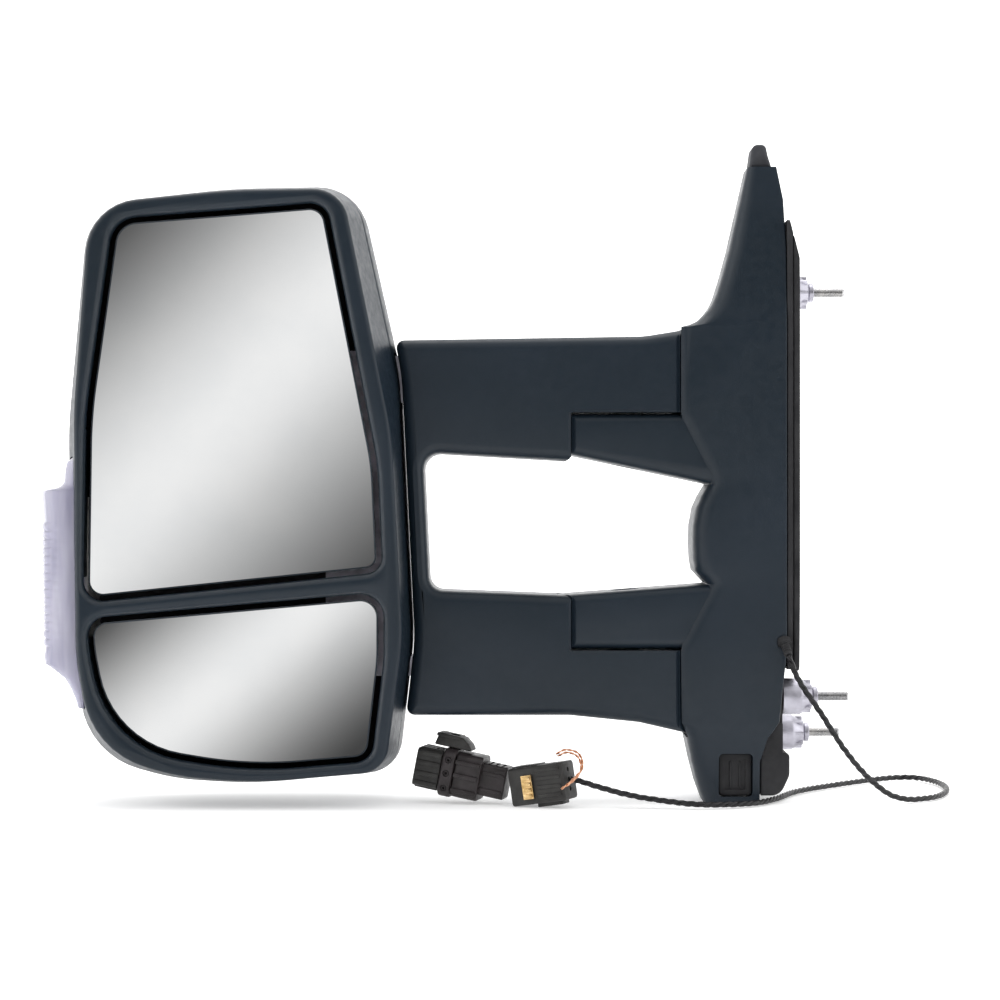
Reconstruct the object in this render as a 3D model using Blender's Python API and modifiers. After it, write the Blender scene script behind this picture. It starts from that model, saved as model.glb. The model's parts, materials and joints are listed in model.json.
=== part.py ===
"""Door mirror of a large van: folding twin-arm head with two adjustable glasses, indicator, base and cable.

The numbers are millimetres and become metres where each mesh is made. +X points into the door,
+Y forward along the vehicle and +Z up. The origin lies on the door-side face of the seal, and the
glasses face -Y.
"""

import math

import bmesh
import bpy
from mathutils import Matrix, Vector

MM = 0.001
GAP = 0.3  # between pieces that touch
WALL = 2.5  # moulded shells

# Head. Its outlines are drawn from its inner edge (x) and the mirror's middle (z).
HEAD_WIDTH = 219.6
HEAD_HEIGHT = 379.8
DRAWN_WIDTH, DRAWN_HEIGHT = 219.6, 379.8
HEAD_CENTRE = (-110.0, 9.0)
LIP_Y = -57.0
SEAM_Y = -22.0
GLASS_SLOT = 3.5  # free space round each glass
COLLAR = 3.5  # wall round each glass opening
COLLAR_END = -46.5
FUNNEL = 3.5  # how much wider an opening is at the lip

# Folding joint
ARM_REACH = 135.2  # from the joint's axis to the head
HINGE_X = -109.0
TONGUE_R = 43.0
JOINT_GAP = 1.0
ARM_HALF = 28.0
ARM_EDGE = 7.0
STUB_HALF = 27.0
STUB_EDGE = 6.0
UPPER_SPLIT = 55.4  # underside of the upper tongue
LOWER_SPLIT = -95.0  # top of the lower tongue
HEAD_CLEAR = 1.2
POST = 11.2  # width of the yoke's upright
PIN_R = 6.0
PIN_HEAD = 3.0
BUSH_WALL = 2.7
UPPER_BASE_LUG = (29.0, 50.0)
UPPER_ARM_LUG = (60.0, 92.0)
LOWER_BASE_LUG = (-90.0, -66.0)
LOWER_ARM_LUG = (-112.0, -99.0)
SPRING_ROOM = 15.0
SPRING_WIRE = 1.6
SPRING_TURNS = 3

# Door side
SEAL = 3.7
PLATE = 4.0
FRAME_X = (-24.0, -10.0)
STUD_R = 3.0
STUD_END = 33.0
SLEEVE_R = 11.5
SLEEVE_COLLAR_R = 6.0
SLEEVE_STEP = 2.0
SLEEVE_END = 13.0
STUDS = {"upper": (15.0, 133.6), "lower_rear": (-8.0, -125.0), "lower_front": (42.0, -152.0)}

# Glass units: the pivot of each gimbal lies behind its glass
PIVOT_Y = -35.0
GLASS_Y = (-50.0, -47.5)
PAD = 0.7
CARRIER = 2.0
MAIN_CENTRE = (-111.0, 62.0)
SPOT_CENTRE = (-107.2, -112.8)
ROD_REACH = 32.0
ROD_R = 2.6
BALL_R = 3.5
CUP_CLEAR = 1.7
NUT_R = 8.0
CASE_R = 44.0
CASE_Y = (-14.0, 14.0)
CASE_WALL = 2.0
MOTOR_R = 8.0
SCREW_R = 2.0
HEAD_FRAME = 3.0
FRAME_CLEAR = 3.0  # from the head frame to the cap
BOLT_R = 3.0

# Indicator, measured from the head's outer edge
LENS_WALL = 2.0
LENS_SEAT = 0.9
BULB_R = 6.0

# Cable
CABLE_D = 4.0
CABLE_STEP = 10.0
FLOOR_Z = -192.0

HEAD_RIGHT = HINGE_X - ARM_REACH
POCKET_R = TONGUE_R + JOINT_GAP
BUSH_R = PIN_R + GAP + BUSH_WALL
HEAD_FRAME_Y = (CASE_Y[1] + GAP, CASE_Y[1] + GAP + HEAD_FRAME)

# Corners are (x, z, radius).
LIP = [
    (-209.2, 55.8, 300), (-199.6, 183.5, 35), (-112.2, 192.5, 400), (-42.8, 193.4, 22),
    (-11.8, 40.3, 200), (-4.9, -86.8, 150), (-16.1, -168.6, 18), (-97.3, -175.5, 300),
    (-146.3, -171.4, 150), (-197.8, -155.6, 55), (-207.7, -96.1, 150),
]
WAIST = [
    (-219.6, 44.4, 300), (-206.3, 187.8, 36), (-116.1, 198.0, 400), (-34.9, 199.6, 31),
    (-8.3, 81.2, 150), (0.0, -88.8, 150), (-9.5, -171.3, 20), (-100.9, -180.2, 300),
    (-151.0, -177.4, 150), (-206.3, -162.5, 50), (-215.8, -100.0, 150),
]
MAIN_GLASS = [
    (-182.4, 171.7, 14), (-55.5, 181.9, 9.5), (-24.4, 21.8, 150), (-21.6, -41.7, 7),
    (-200.8, -60.3, 9), (-199.2, 52.9, 300),
]
SPOT_GLASS = [
    (-198.3, -76.8, 9), (-20.7, -61.0, 11), (-20.7, -99.5, 120), (-27.8, -159.2, 9),
    (-100.3, -165.5, 250), (-186.1, -151.1, 62), (-197.3, -93.3, 100),
]
# Each row of the cap is (y, share of the way from lip to waist, scale about the head's centre).
SEAM_BLEND = 0.79
CAP_ROWS = [
    (-21.7, SEAM_BLEND, 1.0), (-5.0, 1.0, 1.0), (12.0, 1.0, 1.0), (29.0, 1.0, 0.97), (45.0, 1.0, 0.90),
    (57.0, 1.0, 0.78), (66.0, 1.0, 0.62), (72.0, 1.0, 0.40), (75.5, 1.0, 0.14),
]
# The indicator in plan (x, y): its outer face, then its back. Its bulge grows and fades along z.
LENS_BACK = 15.8
LENS_OUTER = [(11.8, -45.0), (-0.2, -44.0), (-10.2, -38.0), (-14.2, -25.0), (-14.2, -5.0),
              (-10.2, 15.0), (1.8, 35.0), (16.0, 47.0)]
LENS_INNER = [(LENS_BACK + 1, 41.0), (LENS_BACK, 20.0), (LENS_BACK, -10.0), (LENS_BACK, -41.0)]
LENS_ROWS = [(-130, 0.2), (-112, 0.5), (-103, 0.93), (-50, 1.0), (6, 1.0), (12, 0.4), (27, 0.27)]
# The base cover, from the top down: (z, left, rear, middle, front, door side).
COVER_ROWS = [
    (211.0, -32.1, -20, 16, 24, -14.0), (190.0, -36.8, -23, 18, 34, -10.0), (158.0, -44.0, -26, 20, 50, -8.3),
    (128.0, -52.8, -28, 22, 64, -8.3), (120.5, -57.2, -29, 24, 67, -8.3), (113.0, -64.8, -30, 26, 70, -8.3),
    (109.0, -80.0, -30, 28, 73, -8.3), (55.0, -80.0, -30, 28, 92, -8.3), (10.0, -57.0, -30, 28, 102, -8.3),
    (-5.0, -65.0, -30, 28, 105, -8.3), (-28.0, -67.3, -30, 28, 108, -8.3), (-45.0, -65.5, -30, 28, 109, -8.3),
    (-53.0, -58.0, -30, 28, 110, -8.3), (-95.0, -80.0, -30, 28, 112, -8.3), (-140.0, -80.0, -29, 28, 106, -13.0),
    (-150.0, -71.0, -28, 27, 101, -20.0), (-165.0, -67.9, -27, 26, 92, -25.0),
    (-180.0, -64.1, -25, 24, 75, -25.0), (FLOOR_Z, -59.7, -24, 22, 60, -25.0),
]
# The seal in (y, z, radius)
SEAL_OUTLINE = [
    (-28.0, 178.0, 4), (36.0, 178.0, 8), (63.0, 128.0, 30), (90.0, 60.0, 80), (107.0, -28.0, 80),
    (109.0, -85.0, 30), (104.0, -108.0, 6), (-26.0, -108.0, 4), (-30.0, -60.0, 60), (-30.0, 110.0, 60),
]
# The cable's route from its grommet to its plug
ROUTE = [
    (-8, -37, -98), (-2, -41, -113), (12, -43, -134), (25, -41, -154), (38, -36, -170), (50, -30, -181),
    (60, -25, -187), (72, -18, -189.6), (90, -1, -189.6), (102.5, 35, -189.6), (105.5, 78, -189.6),
    (96.5, 114, -189.6), (80, 118, -189.6), (52, 92, -189.6), (7, 35, -189.6), (-13, -12, -189.6),
    (-31, -40, -189.6), (-62, -54, -189), (-84, -50, -187.5), (-112, -47, -183), (-145, -42, -174),
]

for old in list(bpy.data.objects):
    bpy.data.objects.remove(old)


def new_collection(name):
    made = bpy.data.collections.new(name)
    bpy.context.scene.collection.children.link(made)
    return made


PARTS = new_collection("car_side_mirror")
CUTTERS = new_collection("cutters")


def finish(name, colour, roughness, metallic=0.0, transmission=0.0):
    made = bpy.data.materials.new(name)
    made.use_nodes = True
    shader = made.node_tree.nodes["Principled BSDF"]
    shader.inputs["Base Color"].default_value = (*colour, 1.0)
    shader.inputs["Roughness"].default_value = roughness
    shader.inputs["Metallic"].default_value = metallic
    shader.inputs["Transmission Weight"].default_value = transmission
    made.diffuse_color = (*colour, 1.0)
    return made


SHELL = finish("moulded_shell", (0.018, 0.024, 0.031), 0.45)
STRUCTURE = finish("dark_structure", (0.03, 0.03, 0.033), 0.6)
ALLOY = finish("cast_alloy", (0.42, 0.41, 0.46), 0.4, 1.0)
STEEL = finish("steel", (0.5, 0.5, 0.52), 0.3, 1.0)
BRASS = finish("brass", (0.75, 0.5, 0.2), 0.3, 1.0)
RUBBER = finish("rubber", (0.05, 0.05, 0.055), 0.8)
MIRROR = finish("silvered_glass", (0.55, 0.57, 0.6), 0.03, 1.0)
LENS = finish("clear_lens", (0.55, 0.53, 0.66), 0.12, 0.0, 0.6)
WHITE = finish("pale_plastic", (0.7, 0.7, 0.68), 0.5)
PLUG = finish("connector_plastic", (0.045, 0.036, 0.036), 0.5)
CABLE = finish("cable_sleeve", (0.015, 0.015, 0.017), 0.6)


def place(name, mesh, material):
    """An object for this mesh: a part if it has a material, or a hidden cutter if it has none."""
    made = bpy.data.objects.new(name, mesh)
    if material:
        PARTS.objects.link(made)
        mesh.materials.append(material)
    else:
        CUTTERS.objects.link(made)
        made.hide_render = True
        made.display_type = "WIRE"
    return made


def place_bmesh(name, shape, material):
    mesh = bpy.data.meshes.new(name)
    bmesh.ops.recalc_face_normals(shape, faces=shape.faces)
    shape.to_mesh(mesh)
    shape.free()
    mesh.shade_smooth()
    mesh.set_sharp_from_angle(angle=math.radians(35))
    return place(name, mesh, material)


def boolean(target, other, operation):
    modifier = target.modifiers.new(other.name, "BOOLEAN")
    modifier.operation = operation
    modifier.object = other
    modifier.solver = "EXACT"


def carve(target, *cutters):
    for cutter in cutters:
        boolean(target, cutter, "DIFFERENCE")
    return target


def join(target, *others):
    for other in others:
        boolean(target, other, "UNION")
    return target


def keep(target, region):
    boolean(target, region, "INTERSECT")
    return target


def box(name, low, high, material=None):
    shape = bmesh.new()
    size = Vector(high) - Vector(low)
    middle = (Vector(high) + Vector(low)) / 2
    matrix = Matrix.Translation(middle * MM) @ Matrix.Diagonal((*(size * MM), 1))
    bmesh.ops.create_cube(shape, size=1, matrix=matrix)
    return place_bmesh(name, shape, material)


TURN_TO = {"x": Matrix.Rotation(math.pi / 2, 4, "Y"), "y": Matrix.Rotation(-math.pi / 2, 4, "X"), "z": Matrix()}


def rod(name, axis, at, start, end, radius, sides=16, material=None, tip=None):
    """A cylinder along an axis through the point at, from start to end measured along the axis."""
    shape = bmesh.new()
    matrix = Matrix.Translation((0, 0, (start + end) / 2 * MM))
    last = radius if tip is None else tip
    bmesh.ops.create_cone(shape, cap_ends=True, segments=sides, radius1=radius * MM, radius2=last * MM,
                          depth=(end - start) * MM, matrix=matrix)
    made = place_bmesh(name, shape, material)
    made.matrix_world = Matrix.Translation(Vector(at) * MM) @ TURN_TO[axis]
    return made


def turned(name, axis, at, profile, sides=16, material=None, closed=True):
    """A profile of (radius, height), down its outer side, turned about an axis through the point at."""
    mesh = bpy.data.meshes.new(name)
    points = [(radius * MM, 0, height * MM) for radius, height in profile]
    edges = [(i, i + 1) for i in range(len(points) - 1)]
    if closed:
        edges.append((len(points) - 1, 0))
    mesh.from_pydata(points, edges, [])
    made = place(name, mesh, material)
    made.matrix_world = Matrix.Translation(Vector(at) * MM) @ TURN_TO[axis]
    screw = made.modifiers.new("turn", "SCREW")
    screw.steps = screw.render_steps = sides
    screw.use_merge_vertices = True
    screw.merge_threshold = 0.00001
    screw.use_smooth_shade = False
    return made


def loft(name, rings, material=None):
    """A closed body through rings that have equally many points."""
    shape = bmesh.new()
    layers = [[shape.verts.new(Vector(point) * MM) for point in ring] for ring in rings]
    for near, far in zip(layers, layers[1:]):
        for i in range(len(near)):
            j = (i + 1) % len(near)
            shape.faces.new((near[i], near[j], far[j], far[i]))
    shape.faces.new(layers[0])
    shape.faces.new(layers[-1])
    return place_bmesh(name, shape, material)


def inset(corners, by):
    """The outline moved inwards, its corner radii following; a negative distance moves it outwards."""
    count = len(corners)
    area = sum(corners[i - 1][0] * corners[i][1] - corners[i][0] * corners[i - 1][1] for i in range(count))
    side = 1 if area > 0 else -1
    moved = []
    for i, (x, z, radius) in enumerate(corners):
        here = Vector((x, z))
        before = (here - Vector(corners[i - 1][:2])).normalized()
        after = (Vector(corners[(i + 1) % count][:2]) - here).normalized()
        inwards = [Vector((-way.y, way.x)) * side for way in (before, after)]
        here += by * (inwards[0] + inwards[1]) / (1 + inwards[0].dot(inwards[1]))
        convex = before.cross(after) * side > 0
        moved.append((here.x, here.y, max(0.3, radius - by if convex else radius + by)))
    return moved


def fitted(corners):
    """The outline with its radii cut down where the arcs of two corners would overlap on their edge."""
    points = [Vector(corner[:2]) for corner in corners]
    ahead = [points[(i + 1) % len(points)] - point for i, point in enumerate(points)]
    reach = [radius / math.tan(max(0.02, ahead[i].angle(-ahead[i - 1]) / 2))
             for i, (_, _, radius) in enumerate(corners)]
    room = [0.995 * edge.length / (reach[i] + reach[(i + 1) % len(reach)]) for i, edge in enumerate(ahead)]
    return [(x, z, radius * min(1.0, room[i], room[i - 1])) for i, (x, z, radius) in enumerate(corners)]


def rounded(corners, steps=3):
    """The outline's points, with an arc at each corner."""
    corners = fitted(corners)
    points = []
    for i, (x, z, radius) in enumerate(corners):
        here = Vector((x, z))
        back = (Vector(corners[i - 1][:2]) - here).normalized()
        ahead = (Vector(corners[(i + 1) % len(corners)][:2]) - here).normalized()
        half = back.angle(ahead) / 2
        centre = here + (back + ahead).normalized() * radius / math.sin(half)
        first = here + back * radius / math.tan(half) - centre
        last = here + ahead * radius / math.tan(half) - centre
        swing = math.atan2(first.cross(last), first.dot(last))
        for step in range(steps + 1):
            spoke = Matrix.Rotation(swing * step / steps, 2) @ first
            points.append(tuple(centre + spoke))
    return points


ALONG = {"x": lambda u, v, w: (w, u, v), "y": lambda u, v, w: (u, w, v), "z": lambda u, v, w: (u, v, w)}


def prism(name, corners, axis, near, far, edge=0.0, steps=3, material=None):
    """An outline pushed along an axis, with both of its rims rounded by edge."""
    levels = [(near, 0.0), (far, 0.0)]
    if edge:
        turns = [math.pi / 4 * step for step in range(3)]
        rim = [(edge * (1 - math.cos(turn)), edge * (1 - math.sin(turn))) for turn in turns]
        levels = [(near + depth, shrink) for depth, shrink in rim]
        levels += [(far - depth, shrink) for depth, shrink in reversed(rim)]
    rings = []
    for depth, shrink in levels:
        outline = rounded(inset(corners, shrink), steps)
        rings.append([ALONG[axis](u, v, depth) for u, v in outline])
    return loft(name, rings, material)


def pivot(name, at, parent=None):
    """An empty on a joint's axis, which carries the pieces that turn or slide with it."""
    made = bpy.data.objects.new(name, None)
    PARTS.objects.link(made)
    made.location = Vector(at) * MM
    bpy.context.view_layer.update()
    if parent:
        made.parent = parent
        made.matrix_parent_inverse = parent.matrix_world.inverted()
    bpy.context.view_layer.update()
    return made


def carry(parent, pieces):
    for piece in pieces:
        piece.parent = parent
        piece.matrix_parent_inverse = parent.matrix_world.inverted()


# ---------------------------------------------------------------- head shells


def on_head(x, z):
    return HEAD_RIGHT + x * HEAD_WIDTH / DRAWN_WIDTH, z * HEAD_HEIGHT / DRAWN_HEIGHT


def head_corners(corners):
    return [(*on_head(x, z), radius) for x, z, radius in corners]


HEAD_LEFT = on_head(WAIST[0][0], 0)[0]
MAIN_X, MAIN_Z = on_head(*MAIN_CENTRE)
SPOT_X, SPOT_Z = on_head(*SPOT_CENTRE)


def head_edge(z):
    """The head's inner edge at its waist, at this height."""
    edge = [on_head(x, height) for x, height, _ in WAIST[3:7]]
    for (x0, z0), (x1, z1) in zip(edge, edge[1:]):
        if z1 <= z <= z0:
            return x0 + (x1 - x0) * (z - z0) / (z1 - z0)
    return edge[0][0] if z > edge[0][1] else edge[-1][0]


def head_ring(y, blend, scale, skin=0.0, steps=3):
    cx, cz = on_head(*HEAD_CENTRE)
    corners = []
    for (x0, z0, r0), (x1, z1, r1) in zip(head_corners(LIP), head_corners(WAIST)):
        x, z = x0 + (x1 - x0) * blend, z0 + (z1 - z0) * blend
        radius = (r0 + (r1 - r0) * blend) * scale
        corners.append((cx + (x - cx) * scale, cz + (z - cz) * scale, radius))
    return [(x, y, z) for x, z in rounded(inset(corners, skin), steps)]


def glass_opening(name, corners):
    levels = [(LIP_Y - 1, GLASS_SLOT + FUNNEL), (LIP_Y + 5, GLASS_SLOT), (COLLAR_END + 1, GLASS_SLOT)]
    rings = [[(x, y, z) for x, z in rounded(inset(corners, -grow), 4)] for y, grow in levels]
    return loft(name, rings)


def beam_passage(name, lug):
    """The way through the head's inner wall and the yoke's upright for one beam of the yoke frame."""
    edges = [head_edge(z) for z in lug]
    return box(name, (min(edges) - 14, -13, lug[0] - 1.5), (max(edges) + HEAD_CLEAR + WALL + 3, 13, lug[1] + 1.5))


def lens_form(name, grow, open_by=0.0, material=None):
    rings = []
    last = len(LENS_ROWS) - 1
    for i, (z, bulge) in enumerate(LENS_ROWS):
        z += grow * {0: -1, last: 1}.get(i, 0)
        outer = [(LENS_BACK + (x - LENS_BACK) * bulge, y) for x, y in LENS_OUTER]
        inner = [(x + open_by, y) for x, y in LENS_INNER]
        corners = inset([(HEAD_LEFT + x, y, 0.0) for x, y in outer + inner], -grow)
        rings.append([(x, y, z) for x, y, _ in corners])
    return loft(name, rings, material)


LENS_SEAT_FORM = lens_form("cut_lens_seat", LENS_SEAT)
UPPER_PASSAGE = beam_passage("cut_upper_passage", UPPER_ARM_LUG)
LOWER_PASSAGE = beam_passage("cut_lower_passage", LOWER_ARM_LUG)


def head_bezel():
    rings = [head_ring(LIP_Y, 0, 1, 1.3), head_ring(LIP_Y + 0.5, 0, 1, 0.4), head_ring(LIP_Y + 1.6, 0.02, 1)]
    rings.append(head_ring(SEAM_Y, SEAM_BLEND, 1))
    bezel = loft("head_bezel", rings, SHELL)
    hollow = [head_ring(LIP_Y + WALL, 0, 1, WALL + 0.5), head_ring(SEAM_Y + 5, SEAM_BLEND + 0.1, 1, WALL)]
    carve(bezel, loft("cut_bezel_hollow", hollow))
    for name, outline in (("main", MAIN_GLASS), ("spot", SPOT_GLASS)):
        corners = head_corners(outline)
        collar = prism(f"add_{name}_collar", inset(corners, -GLASS_SLOT - COLLAR), "y", LIP_Y + 1.4, COLLAR_END)
        join(bezel, collar)
        carve(bezel, glass_opening(f"cut_{name}_opening", corners))
    return carve(bezel, LENS_SEAT_FORM, UPPER_PASSAGE, LOWER_PASSAGE)


def head_cap():
    cap = loft("head_cap", [head_ring(*row) for row in CAP_ROWS], SHELL)
    rows = [(SEAM_Y - 5, SEAM_BLEND - 0.1, 1.0)] + CAP_ROWS[1:]
    hollow = [head_ring(y - WALL * (1 - scale), blend, scale, WALL) for y, blend, scale in rows]
    carve(cap, loft("cut_cap_hollow", hollow))
    return carve(cap, LENS_SEAT_FORM, UPPER_PASSAGE, LOWER_PASSAGE)


def lens_cover():
    cover = lens_form("lens_cover", 0, material=LENS)
    return carve(cover, lens_form("cut_lens_hollow", -LENS_WALL, 2 * LENS_WALL + 4))


BULB_AT = (0.0, -4.0, -47.0)


def lens_housing():
    front, back = HEAD_LEFT + 5.5, HEAD_LEFT + LENS_BACK + 1
    tray = box("lens_housing", (front, -36, -96), (back, 27, 2), WHITE)
    carve(tray, box("cut_tray", (front - 2, -34, -94), (back - 2, 25, 0)))
    return carve(tray, rod("cut_holder", "x", BULB_AT, back - 5, back + 2, BULB_R + 2.5))


def bulb_holder():
    back = HEAD_LEFT + LENS_BACK + 1
    radius = BULB_R + 2
    profile = [(0, back + 7), (radius, back + 7), (radius, back - 4), (0, back - 4)]
    return turned("bulb_holder", "x", BULB_AT, profile, 20, STRUCTURE, closed=False)


def indicator_bulb():
    base = HEAD_LEFT + LENS_BACK - 3 - GAP
    profile = [(0, base), (BULB_R - 1.5, base), (BULB_R - 1.5, base - 4)]
    centre = base - 4 - BULB_R + 1.2
    for step in range(1, 6):
        turn = math.radians(50 - 28 * step)
        profile.append((BULB_R * math.cos(turn), centre + BULB_R * math.sin(turn)))
    profile.append((0, centre - BULB_R))
    return turned("indicator_bulb", "x", BULB_AT, profile, 16, LENS, closed=False)


def head_frame():
    y0, y1 = HEAD_FRAME_Y
    outline = inset(head_corners(WAIST), WALL + FRAME_CLEAR)
    frame = prism("head_frame", outline, "y", y0, y1, material=STRUCTURE)
    lens_room = lens_form("cut_frame_lens", LENS_SEAT + 0.5)
    for at in screw_places():
        carve(frame, rod("cut_frame_screw", "y", at, y0 - 2, y1 + 2, SCREW_R + GAP, 12))
    for at in bolt_places():
        carve(frame, rod("cut_frame_bolt", "y", at, y0 - 2, y1 + 2, BOLT_R + GAP, 12))
    return carve(frame, lens_room)


def screw_places():
    reach = CASE_R - 6
    return [(MAIN_X + reach * math.cos(turn), 0, MAIN_Z + reach * math.sin(turn))
            for turn in map(math.radians, (45, 135, 225))]


SPINE_X = (HEAD_RIGHT - 55.8, HEAD_RIGHT - 17.8)


def bolt_places():
    return [(sum(SPINE_X) / 2, 0, z) for z in (77, -20, -106)]


def actuator_screws():
    made = []
    top = CASE_Y[1] - CASE_WALL - GAP
    for i, at in enumerate(screw_places()):
        profile = [(0, HEAD_FRAME_Y[1] + 2), (SCREW_R, HEAD_FRAME_Y[1] + 2), (SCREW_R, top), (3.6, top),
                   (3.6, top - 2.6), (0, top - 2.6)]
        made.append(turned(f"actuator_screw_{i + 1}", "y", at, profile, 12, STEEL, closed=False))
    return made


def head_bolts():
    made = []
    seat = HEAD_FRAME_Y[1] + GAP
    for i, at in enumerate(bolt_places()):
        profile = [(0, seat + 4), (5.5, seat + 4), (5.5, seat), (BOLT_R, seat), (BOLT_R, 0), (0, 0)]
        made.append(turned(f"head_bolt_{i + 1}", "y", at, profile, 12, STEEL, closed=False))
    return made


# ---------------------------------------------------------------- glass units


def glass_stack(prefix, outline, glass_inset):
    """Glass and heater pad, which sit on a carrier."""
    corners = head_corners(outline)
    glass = prism(f"{prefix}_glass", inset(corners, glass_inset), "y", *GLASS_Y, edge=0.6, material=MIRROR)
    y = GLASS_Y[1] + GAP
    pad = prism(f"{prefix}_heater_pad", inset(corners, 8), "y", y, y + PAD, material=STRUCTURE)
    return glass, pad


CARRIER_Y = (GLASS_Y[1] + 2 * GAP + PAD, GLASS_Y[1] + 2 * GAP + PAD + CARRIER)


def gimbal_ring(name, at, inner, outer, pin_r, reach, half):
    """A ring with four trunnions: two along Z in the posts, two along X in the carrier's ears."""
    ring = turned(name, "y", at, [(outer, half), (outer, -half), (inner, -half), (inner, half)][::-1], 20, STEEL)
    for sign in (1, -1):
        for axis in "xz":
            ends = sorted((sign * (inner + outer) / 2, sign * reach))
            join(ring, rod(f"add_{name}_{axis}{sign}", axis, at, *ends, pin_r, 12))
    return ring


def eared_carrier(name, outline, at, ear, pin_r):
    """A plate whose two ears turn on the ring's trunnions. ear = (inner, outer, half width)."""
    x, y, z = at
    plate = prism(name, inset(head_corners(outline), 1.5), "y", *CARRIER_Y, material=STRUCTURE)
    for sign in (1, -1):
        near, far = sorted((x + sign * ear[0], x + sign * ear[1]))
        join(plate, box(f"add_{name}_ear{sign}", (near, CARRIER_Y[1] - 1, z - ear[2]),
                        (far, y + ear[2], z + ear[2])))
    return carve(plate, rod(f"cut_{name}_pins", "x", at, -ear[1] - 1, ear[1] + 1, pin_r + GAP, 12))


MAIN_AT = (MAIN_X, PIVOT_Y, MAIN_Z)
SPOT_AT = (SPOT_X, PIVOT_Y, SPOT_Z)
MAIN_RING = (14.0, 19.0, 1.5, 24.0, 3.0)
SPOT_RING = (8.0, 12.0, 1.2, 16.5, 2.6)
MAIN_EAR = (20.0, 24.4, 3.6)
SPOT_EAR = (13.0, 17.0, 3.2)
CUP_R = BALL_R + CUP_CLEAR
ROD_PLACES = {"pan": (MAIN_X + ROD_REACH, 0, MAIN_Z), "tilt": (MAIN_X, 0, MAIN_Z - ROD_REACH)}
BALL_Y = CARRIER_Y[1] + 1 + BALL_R


def main_carrier():
    carrier = eared_carrier("main_carrier", MAIN_GLASS, MAIN_AT, MAIN_EAR, MAIN_RING[2])
    for way, at in ROD_PLACES.items():
        y = CARRIER_Y[1]
        cup = [(CUP_R + 1.3, BALL_Y + 2.5), (CUP_R + 1.3, y - 1), (CUP_R, y - 1), (CUP_R, BALL_Y + 2.5)]
        join(carrier, turned(f"add_{way}_cup", "y", at, cup, 20))
    return carrier


def adjuster_rod(way):
    at = ROD_PLACES[way]
    profile = [(0, 4), (ROD_R, 4), (ROD_R, BALL_Y + 2)]
    for step in range(1, 7):
        turn = math.radians(40 - 21.5 * step)
        profile.append((BALL_R * math.cos(turn), BALL_Y + BALL_R * math.sin(turn)))
    profile.append((0, BALL_Y - BALL_R))
    return turned(f"{way}_rod", "y", at, profile, 16, WHITE, closed=False)


def adjuster_nut(way):
    bore = ROD_R + GAP
    profile = [(NUT_R - 2.5, 0), (NUT_R - 2.5, -1.5), (NUT_R, -1.5), (NUT_R, -6.5), (NUT_R - 2.5, -6.5),
               (NUT_R - 2.5, -8), (bore, -8), (bore, 0)]
    return turned(f"{way}_nut", "y", ROD_PLACES[way], profile, 16, WHITE)


def actuator_case():
    y0, y1 = CASE_Y
    at = (MAIN_X, 0, MAIN_Z)
    profile = [(0, y1), (CASE_R, y1), (CASE_R, y0), (CASE_R - CASE_WALL, y0), (CASE_R - CASE_WALL, y1 - CASE_WALL),
               (0, y1 - CASE_WALL)]
    case = turned("actuator_case", "y", at, profile, 28, STRUCTURE, closed=False)
    for place_at in screw_places():
        carve(case, rod("cut_case_screw", "y", place_at, y1 - 5, y1 + 2, SCREW_R + GAP, 12))
    return case


def actuator_cover():
    y1 = CASE_Y[0] - GAP
    y0 = y1 - 2.7
    at = (MAIN_X, 0, MAIN_Z)
    cover = turned("actuator_cover", "y", at, [(0, y1), (CASE_R, y1), (CASE_R, y0), (0, y0)], 28, STRUCTURE,
                   closed=False)
    inner, outer, half = MAIN_EAR
    for sign in (1, -1):
        near, far = sorted((MAIN_Z + sign * inner, MAIN_Z + sign * outer))
        join(cover, box(f"add_cover_post{sign}", (MAIN_X - half, PIVOT_Y - half, near),
                        (MAIN_X + half, y0 + 1, far)))
    carve(cover, rod("cut_cover_pins", "z", MAIN_AT, -outer - 1, outer + 1, MAIN_RING[2] + GAP, 12))
    for way, spot in ROD_PLACES.items():
        carve(cover, rod(f"cut_cover_{way}", "y", spot, y0 - 2, y1 + 2, ROD_R + 0.6, 16))
    return cover


def motor(name, axis, at, start, end, worm_end):
    body = [(0, end), (MOTOR_R, end), (MOTOR_R, start), (0, start)]
    made = turned(name, axis, at, body, 20, STEEL, closed=False)
    near, far = sorted((end - 1 if worm_end > end else start + 1, worm_end))
    return join(made, rod(f"add_{name}_worm", axis, at, near, far, 2.2, 12))


def motors():
    """Each motor lies in the case with its worm beside the rim of one nut."""
    beside = NUT_R + 2.2 + 0.8
    pan = motor("pan_motor", "x", (MAIN_X, -4, MAIN_Z + beside), -16, 12, ROD_REACH + 6)
    tilt = motor("tilt_motor", "z", (MAIN_X - beside, -4, MAIN_Z), -24, 1, -ROD_REACH - 4)
    return pan, tilt


def spot_post():
    """The fixed stalk of the lower glass, with two arms that hold its gimbal ring."""
    at = (SPOT_X, 0, SPOT_Z)
    foot = HEAD_FRAME_Y[0] - GAP
    profile = [(0, foot), (16, foot), (16, foot - 3), (8, foot - 6), (8, -18), (19, -20), (19, -24), (0, -24)]
    post = turned("spot_post", "y", at, profile, 20, STRUCTURE, closed=False)
    inner, outer, half = SPOT_EAR
    for sign in (1, -1):
        near, far = sorted((SPOT_Z + sign * inner, SPOT_Z + sign * outer))
        join(post, box(f"add_post_arm{sign}", (SPOT_X - half, PIVOT_Y - half, near), (SPOT_X + half, -23, far)))
    return carve(post, rod("cut_post_pins", "z", SPOT_AT, -outer - 1, outer + 1, SPOT_RING[2] + GAP, 12))


# ---------------------------------------------------------------- yoke


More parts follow.
